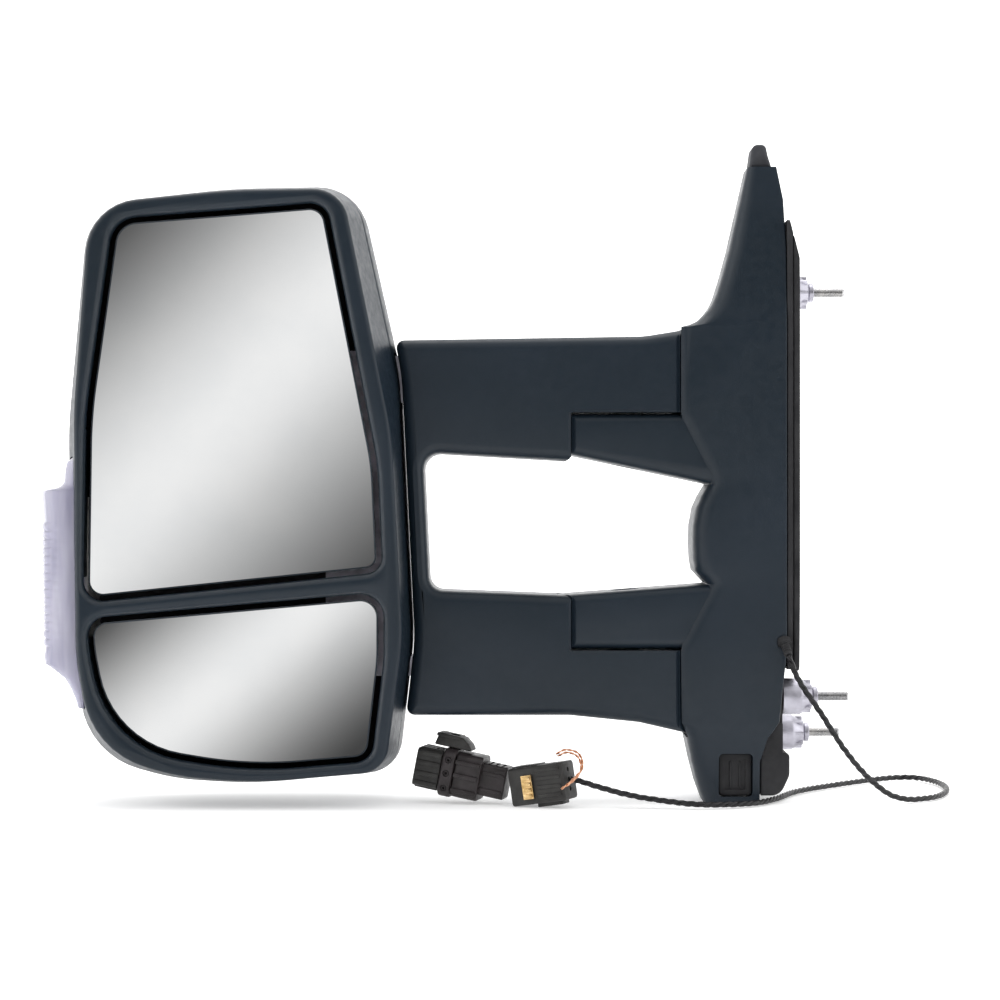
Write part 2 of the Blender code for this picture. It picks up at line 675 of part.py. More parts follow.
def half_round(name, side, radius, low, high):
    """A slab whose end is round about the folding axis. side = 1 rounds its +X end, -1 its -X end."""
    turns = [math.pi * step / 16 - math.pi / 2 for step in range(17)]
    plan = [(HINGE_X + side * radius * math.cos(turn), radius * math.sin(turn)) for turn in turns]
    plan += [(HINGE_X - side * 400, radius), (HINGE_X - side * 400, -radius)]
    return loft(name, [[(x, y, z) for x, y in plan] for z in (low, high)])


def yoke_outline():
    def left(z):
        return head_edge(z) + HEAD_CLEAR

    end = HINGE_X + TONGUE_R + 2
    bends = [on_head(0, z)[1] for z in (81.2, -88.8)]
    return [
        (left(101), 101, 5), (HINGE_X + 11, 103.5, 60), (end, 109, 1), (end, 20, 1),
        (left(30) + POST, 30, 10), (left(-57) + POST, -57, 9), (HINGE_X - 40, -60.2, 20), (end, -60, 1),
        (end, -149, 1), (HINGE_X + 8, -140.5, 20), (HINGE_X - 36, -136, 30), (left(-136), -136, 5),
        (left(bends[1]), bends[1], 150), (left(bends[0]), bends[0], 150),
    ]


def yoke_form(name, skin, material=None):
    outline = inset(yoke_outline(), skin)
    half = ARM_HALF - skin
    form = prism(name, outline, "y", -half, half, max(1, ARM_EDGE - skin), material=material)
    keep(form, half_round(f"keep_{name}_tongues", 1, TONGUE_R - skin, -200, 200))
    return carve(form, half_round(f"cut_{name}_pocket", -1, POCKET_R + skin, LOWER_SPLIT - skin, UPPER_SPLIT + skin))


def yoke_shells():
    hollow = yoke_form("cut_yoke_hollow", WALL)
    bush_way = rod("cut_yoke_bush", "z", (HINGE_X, 0, 0), LOWER_SPLIT - 6, UPPER_SPLIT + 6, BUSH_R + GAP)
    made = []
    for name, y0, y1 in (("rear", -60, -GAP / 2), ("front", GAP / 2, 60)):
        shell = yoke_form(f"yoke_{name}_shell", 0, SHELL)
        carve(shell, hollow, UPPER_PASSAGE, LOWER_PASSAGE, bush_way)
        made.append(keep(shell, box(f"keep_{name}", (-500, y0, -300), (100, y1, 300))))
    return made


def yoke_frame():
    x0, x1 = SPINE_X
    back = HEAD_FRAME_Y[0] - GAP
    frame = box("yoke_frame", (x0, -8, LOWER_ARM_LUG[0]), (x1, back, 95), ALLOY)
    for name, (low, high) in (("upper", (UPPER_ARM_LUG[0] + 2, UPPER_ARM_LUG[1])), ("lower", LOWER_ARM_LUG)):
        join(frame, box(f"add_{name}_beam", (x0 + 12, -10, low + 0.2), (HINGE_X, 10, high - 0.2)))
    for name, lug in (("upper", UPPER_ARM_LUG), ("lower", LOWER_ARM_LUG)):
        join(frame, rod(f"add_{name}_arm_lug", "z", (HINGE_X, 0, 0), *lug, PIN_R + 9, 24))
    carve(frame, rod("cut_arm_bore", "z", (HINGE_X, 0, 0), -200, 200, PIN_R + GAP))
    for at in bolt_places():
        carve(frame, rod("cut_spine_bolt", "y", at, -GAP, back + 2, BOLT_R + GAP, 12))
    return frame


def bush(name, low, high):
    bore = PIN_R + GAP
    return turned(name, "z", (HINGE_X, 0, 0), [(BUSH_R, high), (BUSH_R, low), (bore, low), (bore, high)], 16, WHITE)


def bushes():
    upper = bush("upper_bush", UPPER_BASE_LUG[1] + GAP, UPPER_ARM_LUG[0] - GAP)
    return upper, bush("lower_bush", LOWER_ARM_LUG[1] + GAP, LOWER_BASE_LUG[0] - GAP)


def hinge_pins():
    at = (HINGE_X, 0, 0)
    head = PIN_R + 3
    top = UPPER_ARM_LUG[1] + GAP
    upper = [(0, top + PIN_HEAD), (head, top + PIN_HEAD), (head, top), (PIN_R, top), (PIN_R, 30), (0, 30)]
    top = LOWER_BASE_LUG[1] + GAP
    end = LOWER_ARM_LUG[0] - SPRING_ROOM - 3 * GAP - 2
    lower = [(0, top + PIN_HEAD), (head, top + PIN_HEAD), (head, top), (PIN_R, top), (PIN_R, end),
             (PIN_R + 1.5, end), (PIN_R + 1.5, end - 2.5), (0, end - 2.5)]
    made = turned("upper_hinge_pin", "z", at, upper, 16, STEEL, closed=False)
    return made, turned("lower_hinge_pin", "z", at, lower, 16, STEEL, closed=False)


def detent_washer():
    top = LOWER_ARM_LUG[0] - SPRING_ROOM - 2 * GAP
    bore = PIN_R + GAP
    return turned("detent_washer", "z", (HINGE_X, 0, 0), [(PIN_R + 5, top), (PIN_R + 5, top - 2), (bore, top - 2),
                                                         (bore, top)], 16, STEEL)


def wire(name, points, diameter, material, sides=2):
    """A round wire through points, as a curve with filled caps."""
    curve = bpy.data.curves.new(name, "CURVE")
    curve.dimensions = "3D"
    curve.bevel_depth = diameter / 2 * MM
    curve.bevel_resolution = sides
    curve.use_fill_caps = True
    spline = curve.splines.new("POLY")
    spline.points.add(len(points) - 1)
    for knot, point in zip(spline.points, points):
        knot.co = (*(Vector(point) * MM), 1)
    made = bpy.data.objects.new(name, curve)
    curve.materials.append(material)
    PARTS.objects.link(made)
    return made


def detent_spring():
    radius = PIN_R + GAP + SPRING_WIRE / 2 + 1.2
    high = LOWER_ARM_LUG[0] - GAP - SPRING_WIRE / 2
    low = LOWER_ARM_LUG[0] - SPRING_ROOM - GAP + SPRING_WIRE / 2
    steps = SPRING_TURNS * 10
    points = []
    for step in range(steps + 1):
        turn = 2 * math.pi * step / 10
        z = high + (low - high) * step / steps
        points.append((HINGE_X + radius * math.cos(turn), radius * math.sin(turn), z))
    return wire("detent_spring", points, SPRING_WIRE, STEEL)


# ---------------------------------------------------------------- base


def cover_row(z):
    """Left, rear, middle, front and door side of the base cover at this height."""
    if z >= COVER_ROWS[0][0]:
        return COVER_ROWS[0][1:]
    for high, low in zip(COVER_ROWS, COVER_ROWS[1:]):
        if low[0] <= z <= high[0]:
            share = (high[0] - z) / (high[0] - low[0])
            return [a + (b - a) * share for a, b in zip(high[1:], low[1:])]
    return COVER_ROWS[-1][1:]


def cover_heights():
    """The rows' heights, with more between them where the outline turns as it rises."""
    heights = [COVER_ROWS[0][0]]
    for high, low in zip(COVER_ROWS, COVER_ROWS[1:]):
        steps = max(1, round(abs(high[1] - low[1]) / 3)) if high[0] < 60 else 1
        heights += [high[0] + (low[0] - high[0]) * (step + 1) / steps for step in range(steps)]
    return heights


def cover_form(name, skin, material=None):
    """The cover's outer form, or with a skin its hollow, which is open on the door side."""
    rings = []
    for height in cover_heights():
        z = min(max(height, FLOOR_Z + skin), COVER_ROWS[0][0] - skin)
        near = [cover_row(z + shift) for shift in (-skin, 0, skin)]
        left = max(values[0] for values in near)
        rear, middle, front, door = near[1][1:]
        radius = min(12, 0.35 * (door - left))
        if skin:
            door += 30
            front += (front - middle) * 30 / (door - 30 - left)
        corners = [(door, rear, 1), (left, rear, radius), (left, middle, radius), (door, front, 1.5)]
        rings.append([(x, y, z) for x, y in rounded(inset(corners, skin), 3)])
    form = loft(name, rings, material)
    axis = (HINGE_X, 0, 0)
    radius = POCKET_R + skin
    carve(form, rod(f"cut_{name}_upper", "z", axis, 40 - skin, 111 + skin, radius, 32))
    carve(form, rod(f"cut_{name}_lower", "z", axis, -150.2 - skin, -82 + skin, radius, 32))
    for side, stub in STUBS.items():
        half = STUB_HALF - skin
        arm = prism(f"add_{name}_{side}", inset(stub, skin), "y", -half, half, STUB_EDGE - skin)
        keep(arm, half_round(f"keep_{name}_{side}", -1, TONGUE_R - skin, -200, 200))
        join(form, arm)
    return form


STUB_END = HINGE_X - TONGUE_R - 2
UPPER_STUB_TOP = UPPER_SPLIT - JOINT_GAP
LOWER_STUB_BOTTOM = LOWER_SPLIT + JOINT_GAP
STUBS = {
    "upper_stub": [(STUB_END, UPPER_STUB_TOP, 1), (-40, UPPER_STUB_TOP, 1), (-40, 8, 1), (-56, 10, 30),
                   (STUB_END, 30.6, 1)],
    "lower_stub": [(STUB_END, -60.5, 1), (-58, -53.3, 20), (-40, -52, 1), (-40, LOWER_STUB_BOTTOM, 1),
                   (STUB_END, LOWER_STUB_BOTTOM, 1)],
}
RECESS = (-51.0, -29.5, -187.5, -160.0)
RECESS_FLOOR = -18.0
GROMMET_AT = Vector((-10.5, -28, -88))
GROMMET_WAY = (Vector(ROUTE[0]) - GROMMET_AT).normalized()
GROMMET_LONG = (Vector(ROUTE[0]) - GROMMET_AT).length - 3 * GAP
GROMMET_R = CABLE_D / 2 + 1.2


def grommet_form(name, grow, material=None):
    """A tapered boot along the cable's first direction."""
    profile = [(0, GROMMET_LONG + grow), (GROMMET_R - 0.6 + grow, GROMMET_LONG + grow),
               (GROMMET_R + grow, 4 + grow), (GROMMET_R + 1 + grow, 4 + grow),
               (GROMMET_R + 1 + grow, -grow), (0, -grow)]
    boot = turned(name, "z", (0, 0, 0), profile, 20, material, closed=False)
    aim = GROMMET_WAY.to_track_quat("Z", "Y").to_matrix().to_4x4()
    boot.matrix_world = Matrix.Translation(GROMMET_AT * MM) @ aim
    return boot


GROMMET_CUT = grommet_form("cut_grommet", GAP)


def base_cover():
    cover = cover_form("base_cover", 0, SHELL)
    hollow = cover_form("cut_cover_hollow", WALL)
    carve(cover, hollow)
    x0, x1, z0, z1 = RECESS
    join(cover, box("add_recess_walls", (x0 - 2, -23.5, z0 - 2), (x1 + 2, RECESS_FLOOR + 2, z1 + 2)))
    carve(cover, box("cut_recess", (x0, -40, z0), (x1, RECESS_FLOOR + 4, z1)))
    bush_way = rod("cut_stub_bush", "z", (HINGE_X, 0, 0), LOWER_STUB_BOTTOM - 3, UPPER_STUB_TOP + 3, BUSH_R + GAP)
    carve(cover, bush_way)
    return carve(cover, GROMMET_CUT)


def access_plug():
    x0, x1, z0, z1 = RECESS
    corners = [(x0, z0, 2), (x1, z0, 2), (x1, z1, 2), (x0, z1, 2)]
    return prism("access_plug", inset(corners, GAP), "y", RECESS_FLOOR - 3, RECESS_FLOOR + 1, 0.6,
                 material=STRUCTURE)


def base_frame():
    """Cast plate behind the cover, with a beam and a drilled lug in each stub."""
    x0, x1 = FRAME_X
    outline = [(-22, 150, 6), (28, 150, 10), (44, 100, 30), (60, 40, 40), (70, -30, 40), (70, -100, 30),
               (62, -158, 14), (-17, -158, 4)]
    frame = prism("base_frame", outline, "x", x0, x1, material=ALLOY)
    for name, lug in (("upper", UPPER_BASE_LUG), ("lower", LOWER_BASE_LUG)):
        join(frame, box(f"add_{name}_base_beam", (HINGE_X, -12, lug[0] + 0.2), (x0 + 2, 12, lug[1] - 0.2)))
        join(frame, rod(f"add_{name}_base_lug", "z", (HINGE_X, 0, 0), *lug, PIN_R + 9, 24))
    return carve(frame, rod("cut_base_bore", "z", (HINGE_X, 0, 0), -200, 200, PIN_R + GAP))


def stud_ways(prefix, low, high):
    return [rod(f"cut_{prefix}_{name}", "x", (0, y, z), low, high, SLEEVE_R + 0.4) for name, (y, z) in STUDS.items()]


def seal_slant(name):
    """The wedge that thins the plate and the seal towards their upper end."""
    return prism(name, [(-9, 188, 0.3), (1, 148, 0.3), (6, 148, 0.3), (6, 192, 0.3), (-9, 192, 0.3)], "y", -40, 120)


def base_backplate():
    x1 = -SEAL - GAP
    x0 = x1 - PLATE
    plate = prism("base_backplate", inset(SEAL_OUTLINE, 1), "x", x0, x1, material=STRUCTURE)
    return carve(plate, seal_slant("cut_plate_slant"), *stud_ways("plate", -30, 5), GROMMET_CUT)


def door_gasket():
    pad = prism("door_gasket", SEAL_OUTLINE, "x", -SEAL, 0, material=RUBBER)
    return carve(pad, seal_slant("cut_pad_slant"), *stud_ways("pad", -10, 5), GROMMET_CUT)


def foot_lobe():
    """Rounded block that closes the cover's lower end, with a skirt in front of the cast plate."""
    profile = [(-24.6, -159.6, 1), (-6, -159.6, 3), (-6, -174, 9), (-12, -186.8, 9), (-24.6, -186.8, 1)]
    lobe = prism("foot_lobe", profile, "y", -24, 60, 1.5, material=STRUCTURE)
    join(lobe, box("add_skirt", (-24.6, -24, -162), (-10.3, -20.5, -141)))
    return carve(lobe, *stud_ways("lobe", -30, 5))


def top_seal_tab():
    z = COVER_ROWS[0][0] + GAP
    outline = [(-30.5, z, 0.5), (-16, z, 0.5), (-20, z + 15, 2.5), (-28.5, z + 15, 3)]
    return prism("top_seal_tab", outline, "y", -11, 13, 1.5, material=RUBBER)


def studs():
    made = []
    start = FRAME_X[1] + GAP
    bore = STUD_R + GAP
    for name, (y, z) in STUDS.items():
        profile = [(bore, SLEEVE_END), (SLEEVE_COLLAR_R, SLEEVE_END), (SLEEVE_COLLAR_R, SLEEVE_END - 3),
                   (SLEEVE_COLLAR_R + 2, SLEEVE_END - 3.5), (SLEEVE_R, SLEEVE_STEP), (SLEEVE_R, start), (bore, start)]
        made.append(turned(f"{name}_stud_sleeve", "x", (0, y, z), profile, 20, ALLOY))
        tip = [(0, STUD_END), (STUD_R - 0.8, STUD_END), (STUD_R, STUD_END - 0.8), (STUD_R, start), (0, start)]
        made.append(turned(f"{name}_stud", "x", (0, y, z), tip, 12, STEEL, closed=False))
    return made


# ---------------------------------------------------------------- cable and plugs


def smooth_route(points, spacing):
    """Evenly spaced points on a Catmull-Rom curve through the given ones."""
    knots = [Vector(point) for point in points]
    knots = [2 * knots[0] - knots[1]] + knots + [2 * knots[-1] - knots[-2]]
    fine = []
    for a, b, c, d in zip(knots, knots[1:], knots[2:], knots[3:]):
        for step in range(20):
            t = step / 20
            fine.append(0.5 * (2 * b + (c - a) * t + (2 * a - 5 * b + 4 * c - d) * t * t
                               + (3 * b - a - 3 * c + d) * t ** 3))
    fine.append(knots[-2])
    lengths = [0.0]
    for before, after in zip(fine, fine[1:]):
        lengths.append(lengths[-1] + (after - before).length)
    count = round(lengths[-1] / spacing)
    even, at = [], 0
    for i in range(count + 1):
        goal = lengths[-1] * i / count
        while at < len(fine) - 2 and lengths[at + 1] < goal:
            at += 1
        share = (goal - lengths[at]) / (lengths[at + 1] - lengths[at])
        even.append(fine[at].lerp(fine[at + 1], share))
    return even, lengths[-1]


def harness_cable():
    points, length = smooth_route(ROUTE, CABLE_STEP)
    print(f"cable length {length:.1f} mm")
    return wire("harness_cable", points, CABLE_D, CABLE)


PLUG_AT = (-211.0, -13.0, -174.4)
PLUG_TILT = math.radians(11)
PLUG_YAW = math.radians(-13)
END_AT = Vector(ROUTE[-1])
END_TILT = math.radians(-9)
END_YAW = math.radians(-22)


def lay(piece, at, tilt, yaw):
    """Puts a piece drawn along X at its point, turned about its own Y and then about Z."""
    way = Matrix.Rotation(yaw, 4, "Z") @ Matrix.Rotation(tilt, 4, "Y")
    piece.matrix_world = Matrix.Translation(Vector(at) * MM) @ way
    return piece


def block(y, low, high, radius):
    return [(-y, low, radius), (y, low, radius), (y, high, radius), (-y, high, radius)]


def main_plug():
    """Shroud, body and latch of the larger connector, drawn along X and then laid down."""
    shroud = prism("main_plug_shroud", block(12, -13, 13, 4), "x", -31, -14, 1, material=PLUG)
    hollow = prism("cut_shroud", block(9.5, -10.5, 10.5, 3), "x", -35, -16)
    body = prism("main_plug_body", block(14, -15.5, 15.5, 6), "x", -14 + GAP, 12, 1.5, material=PLUG)
    tail = prism("add_plug_tail", block(9, -10, 11, 4), "x", 10, 28, 1)
    top = 15.5 + GAP
    latch = prism("main_plug_latch", [(-22, top, 1), (3, top, 1), (-1, 23, 2), (-20, 24, 3)], "y", -7, 7, 0.8,
                  material=PLUG)
    for piece in (shroud, hollow, body, tail, latch):
        lay(piece, PLUG_AT, PLUG_TILT, PLUG_YAW)
    return carve(shroud, hollow), join(body, tail), latch


def second_plug():
    """The smaller connector at the cable's end, and its row of brass terminals."""
    start = -3 * GAP
    body = prism("second_plug_body", block(12, -15, 12, 3), "x", start - 36, start, 1, material=PLUG)
    row = box("second_plug_terminals", (start - 27, -12 - GAP - 2.3, -9), (start - 20, -12 - GAP, 6), BRASS)
    for piece in (body, row):
        lay(piece, END_AT, END_TILT, END_YAW)
    return body, row


def wire_pigtail():
    """A short loop of one loose wire beside the smaller plug."""
    offsets = [(-9, 2, 15), (-3, -1, 18), (5, -6, 16), (7, -13, 8), (0, -16, 0), (-6, -15, -5)]
    even, _ = smooth_route([END_AT + Vector(offset) for offset in offsets], 4)
    return wire("wire_pigtail", even, 1.8, BRASS)


# ---------------------------------------------------------------- assembly


def build():
    base_cover()
    access_plug()
    base_frame()
    base_backplate()
    door_gasket()
    foot_lobe()
    top_seal_tab()
    studs()
    grommet_form("cable_grommet", 0, RUBBER)
    harness_cable()
    main_plug()
    second_plug()
    wire_pigtail()
    hinge_pins()
    detent_washer()
    detent_spring()

    arm = pivot("arm_pivot", (HINGE_X, 0, 0))
    carry(arm, [*yoke_shells(), yoke_frame(), *bushes(), head_frame(), head_bezel(), head_cap(), lens_cover(),
                lens_housing(), indicator_bulb(), bulb_holder(), actuator_case(), actuator_cover(), *motors(),
                *actuator_screws(), *head_bolts(), spot_post()])

    main_pan = pivot("main_pan_pivot", MAIN_AT, arm)
    carry(main_pan, [gimbal_ring("gimbal_ring", MAIN_AT, *MAIN_RING)])
    main_tilt = pivot("main_tilt_pivot", MAIN_AT, main_pan)
    carry(main_tilt, [main_carrier(), *glass_stack("main", MAIN_GLASS, 0)])
    for way, at in ROD_PLACES.items():
        carry(pivot(f"{way}_pivot", at, arm), [adjuster_rod(way), adjuster_nut(way)])

    spot_pan = pivot("spot_pan_pivot", SPOT_AT, arm)
    carry(spot_pan, [gimbal_ring("spot_gimbal_ring", SPOT_AT, *SPOT_RING)])
    spot_tilt = pivot("spot_tilt_pivot", SPOT_AT, spot_pan)
    spot_plate = eared_carrier("spot_carrier", SPOT_GLASS, SPOT_AT, SPOT_EAR, SPOT_RING[2])
    carry(spot_tilt, [spot_plate, *glass_stack("spot", SPOT_GLASS, 0)])


build()
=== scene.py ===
"""Van door mirror with a twin-arm yoke, for a studio render.

Outlines and tables are in millimetres, measured from the seal's door-side face, the folding axis and
the middle of the arms. They become metres where a piece is made.
"""

import json
import math

import bmesh
import bpy
from mathutils import Matrix, Vector


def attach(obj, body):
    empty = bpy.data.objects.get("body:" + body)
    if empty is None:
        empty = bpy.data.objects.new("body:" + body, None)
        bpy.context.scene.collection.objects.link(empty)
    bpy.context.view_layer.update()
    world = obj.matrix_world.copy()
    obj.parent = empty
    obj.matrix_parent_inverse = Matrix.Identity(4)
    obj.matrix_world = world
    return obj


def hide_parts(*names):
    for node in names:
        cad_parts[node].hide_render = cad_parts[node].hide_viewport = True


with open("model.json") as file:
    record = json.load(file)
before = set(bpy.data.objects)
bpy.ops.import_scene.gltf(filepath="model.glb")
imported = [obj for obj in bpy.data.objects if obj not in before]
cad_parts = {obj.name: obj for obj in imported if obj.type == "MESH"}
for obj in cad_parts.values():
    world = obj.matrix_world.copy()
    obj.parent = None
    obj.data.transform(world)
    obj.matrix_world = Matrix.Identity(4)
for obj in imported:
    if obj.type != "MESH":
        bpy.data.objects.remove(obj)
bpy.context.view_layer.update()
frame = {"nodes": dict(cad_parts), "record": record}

MM = 0.001
SKIN = 2.5  # wall of the moulded shells
HINGE_X = -109.0
TONGUE_R = 43.0
HEAD_RIGHT = -244.2
LIP_Y = -57.0
SEAM_Y = -22.0
SEAM_BLEND = 0.79  # how far the seam lies from the lip towards the waist
UPPER_SPLIT = 55.4
LOWER_SPLIT = -95.0
FLOOR_Z = -192.0

# ------------------------------------------------------------------ outlines
# Corners are (x, z, radius), with x from the head's inner edge.
LIP = [
    (-209.2, 55.8, 300), (-199.6, 183.5, 35), (-112.2, 192.5, 400), (-42.8, 193.4, 22),
    (-11.8, 40.3, 200), (-4.9, -86.8, 150), (-16.1, -168.6, 18), (-97.3, -175.5, 300),
    (-146.3, -171.4, 150), (-197.8, -155.6, 55), (-207.7, -96.1, 150),
]
WAIST = [
    (-219.6, 44.4, 300), (-206.3, 187.8, 36), (-116.1, 198.0, 400), (-34.9, 199.6, 31),
    (-8.3, 81.2, 150), (0.0, -88.8, 150), (-9.5, -171.3, 20), (-100.9, -180.2, 300),
    (-151.0, -177.4, 150), (-206.3, -162.5, 50), (-215.8, -100.0, 150),
]
MAIN_GLASS = [
    (-182.4, 171.7, 14), (-55.5, 181.9, 9.5), (-24.4, 21.8, 150), (-21.6, -41.7, 7),
    (-200.8, -60.3, 9), (-199.2, 52.9, 300),
]
SPOT_GLASS = [
    (-198.3, -76.8, 9), (-20.7, -61.0, 11), (-20.7, -99.5, 120), (-27.8, -159.2, 9),
    (-100.3, -165.5, 250), (-186.1, -151.1, 62), (-197.3, -93.3, 100),
]
# The indicator in plan (x, y) from the head's outer edge, and how far it bulges at each height.
LENS_BACK = 15.8
LENS_OUTER = [
    (11.8, -45.0), (5.0, -44.9), (-0.2, -44.0), (-6.0, -41.6), (-10.2, -38.0), (-12.9, -32.0),
    (-14.2, -25.0), (-14.2, -5.0), (-12.8, 5.0), (-10.2, 15.0), (-5.2, 25.6), (1.8, 35.0), (16.0, 47.0),
]
LENS_INNER = [(LENS_BACK + 1, 41.0), (LENS_BACK, 20.0), (LENS_BACK, -10.0), (LENS_BACK, -41.0)]
LENS_BULGE = [
    (-130, 0.2), (-124, 0.27), (-118, 0.37), (-112, 0.5), (-107, 0.72), (-103, 0.93), (-98, 0.955),
    (-75, 0.985), (-50, 1.0), (4, 1.0), (5.6, 0.995), (6.4, 0.93), (7.0, 0.8), (7.8, 0.68), (9.2, 0.58),
    (11.5, 0.52), (19, 0.5), (24, 0.46), (27, 0.3),
]
LENS_RIBS = (-92.0, -14.0, 5.2)  # lowest, highest, pitch
# The base cover from the top down: (z, left, rear, middle, front, door side).
COVER_ROWS = [
    (211.0, -32.1, -20, 16, 24, -14.0), (190.0, -36.8, -23, 18, 34, -10.0), (158.0, -44.0, -26, 20, 50, -8.3),
    (140.0, -48.9, -27.2, 21.2, 58.5, -8.3), (128.0, -52.8, -28, 22, 64, -8.3),
    (123.5, -55.0, -28.6, 23.2, 65.7, -8.3), (120.5, -57.2, -29, 24, 67, -8.3),
    (116.5, -60.7, -29.5, 25, 68.5, -8.3), (113.0, -64.8, -30, 26, 70, -8.3),
    (110.8, -69.5, -30, 27, 71.5, -8.3), (109.0, -80.0, -30, 28, 73, -8.3),
    (55.0, -80.0, -30, 28, 92, -8.3), (10.0, -57.0, -30, 28, 102, -8.3),
    (3.0, -61.4, -30, 28, 103.4, -8.3), (-5.0, -65.0, -30, 28, 105, -8.3),
    (-16.0, -67.0, -30, 28, 106.6, -8.3), (-28.0, -67.3, -30, 28, 108, -8.3),
    (-38.0, -66.8, -30, 28, 108.6, -8.3), (-45.0, -65.5, -30, 28, 109, -8.3),
    (-53.0, -58.0, -30, 28, 110, -8.3), (-95.0, -80.0, -30, 28, 112, -8.3),
    (-140.0, -80.0, -29, 28, 106, -13.0), (-145.0, -75.0, -28.6, 27.6, 103.8, -16.2),
    (-150.0, -71.0, -28, 27, 101, -20.0), (-165.0, -67.9, -27, 26, 92, -25.0),
    (-180.0, -64.1, -25, 24, 75, -25.0), (FLOOR_Z, -59.7, -24, 22, 60, -25.0),
]
# The seal in (y, z, radius)
SEAL_OUTLINE = [
    (-28.0, 178.0, 4), (36.0, 178.0, 8), (63.0, 128.0, 30), (90.0, 60.0, 80), (107.0, -28.0, 80),
    (109.0, -85.0, 30), (104.0, -108.0, 6), (-26.0, -108.0, 4), (-30.0, -60.0, 60), (-30.0, 110.0, 60),
]
SEAL_SLANT = [(-9, 188, 0.3), (1, 148, 0.3), (6, 148, 0.3), (6, 192, 0.3), (-9, 192, 0.3)]
STUDS = {"upper": (15.0, 133.6), "lower_rear": (-8.0, -125.0), "lower_front": (42.0, -152.0)}
ROUTE = [
    (-8, -37, -98), (-2, -41, -113), (12, -43, -134), (25, -41, -154), (38, -36, -170), (50, -30, -181),
    (60, -25, -187), (72, -18, -189.6), (90, -1, -189.6), (102.5, 35, -189.6), (105.5, 78, -189.6),
    (96.5, 114, -189.6), (80, 118, -189.6), (52, 92, -189.6), (7, 35, -189.6), (-13, -12, -189.6),
    (-31, -40, -189.6), (-62, -54, -189), (-84, -50, -187.5), (-112, -47, -183), (-145, -42, -174),
]
GROMMET_AT = Vector((-10.5, -28, -88))
PLUG_AT = Vector((-211.0, -13.0, -174.4))
PLUG_TURN = Matrix.Rotation(math.radians(-13), 4, "Z") @ Matrix.Rotation(math.radians(11), 4, "Y")
END_AT = Vector(ROUTE[-1])
END_TURN = Matrix.Rotation(math.radians(-22), 4, "Z") @ Matrix.Rotation(math.radians(-9), 4, "Y")

# ------------------------------------------------------------------ finishes


def finish(name, colour, roughness, metallic=0.0, specular=0.5):
    made = bpy.data.materials.new(name)
    made.use_nodes = True
    shader = made.node_tree.nodes["Principled BSDF"]
    shader.inputs["Base Color"].default_value = (*colour, 1)
    shader.inputs["Roughness"].default_value = roughness
    shader.inputs["Metallic"].default_value = metallic
    shader.inputs["Specular IOR Level"].default_value = specular
    return made


def node(material, kind, **settings):
    made = material.node_tree.nodes.new(kind)
    for key, value in settings.items():
        if hasattr(made, key):
            setattr(made, key, value)
        else:
            made.inputs[key.replace("_", " ")].default_value = value
    return made


def link(material, source, target):
    material.node_tree.links.new(source, target)


def shader_of(material):
    return material.node_tree.nodes["Principled BSDF"]


def noise(material, scale, detail=3.0, stretch=None):
    """Noise on the piece's own coordinates; stretch draws it out along an axis."""
    place = node(material, "ShaderNodeTexCoord")
    pattern = node(material, "ShaderNodeTexNoise", Scale=scale, Detail=detail)
    source = place.outputs["Object"]
    if stretch:
        turn = node(material, "ShaderNodeMapping")
        turn.inputs["Scale"].default_value = stretch
        link(material, source, turn.inputs["Vector"])
        source = turn.outputs["Vector"]
    link(material, source, pattern.inputs["Vector"])
    return pattern.outputs["Fac"]


def spread(material, source, low, high, from_low=0.3, from_high=0.7):
    """A number from low to high, by the pattern."""
    ramp = node(material, "ShaderNodeMapRange")
    for socket, value in (("From Min", from_low), ("From Max", from_high), ("To Min", low), ("To Max", high)):
        ramp.inputs[socket].default_value = value
    link(material, source, ramp.inputs["Value"])
    return ramp.outputs["Result"]


def tint(material, source, dark, light, from_low=0.35, from_high=0.65):
    """A colour between two, by the pattern."""
    ramp = node(material, "ShaderNodeValToRGB")
    ramp.color_ramp.elements[0].position = from_low
    ramp.color_ramp.elements[1].position = from_high
    ramp.color_ramp.elements[0].color = (*dark, 1)
    ramp.color_ramp.elements[1].color = (*light, 1)
    link(material, source, ramp.inputs["Fac"])
    return ramp.outputs["Color"]


def raise_by(material, source, height, strength=1.0, under=None):
    bump = node(material, "ShaderNodeBump")
    bump.inputs["Strength"].default_value = strength
    bump.inputs["Distance"].default_value = height
    link(material, source, bump.inputs["Height"])
    if under:
        link(material, under, bump.inputs["Normal"])
    return bump.outputs["Normal"]


def texture(material, dark, light, rough, blotch=14.0, grain=1500.0, height=0.00004, fleck=220.0):
    """Cloudy colour, uneven gloss and a moulded grain, which every finish here shares in its own measure."""
    shader = shader_of(material)
    cloud = noise(material, blotch, 4.0)
    link(material, tint(material, cloud, dark, light), shader.inputs["Base Color"])
    link(material, spread(material, noise(material, fleck, 5.0), *rough), shader.inputs["Roughness"])
    fine = raise_by(material, noise(material, grain, 2.0), height)
    waves = raise_by(material, noise(material, blotch * 2.2, 2.0), 0.0003, 0.35, fine)
    link(material, waves, shader.inputs["Normal"])
    return material


def moulded_shell():
    made = finish("blue_black_shell", (0.012, 0.018, 0.026), 0.42, specular=0.32)
    dark, light = (0.0075, 0.0145, 0.0225), (0.0115, 0.0195, 0.0300)
    return texture(made, dark, light, (0.34, 0.47), 9.0, 1700.0, 0.00005)


def dark_structure():
    made = finish("inner_moulding", (0.02, 0.02, 0.022), 0.6, specular=0.35)
    return texture(made, (0.014, 0.014, 0.016), (0.03, 0.03, 0.033), (0.5, 0.7), 30.0, 1200.0, 0.00006)


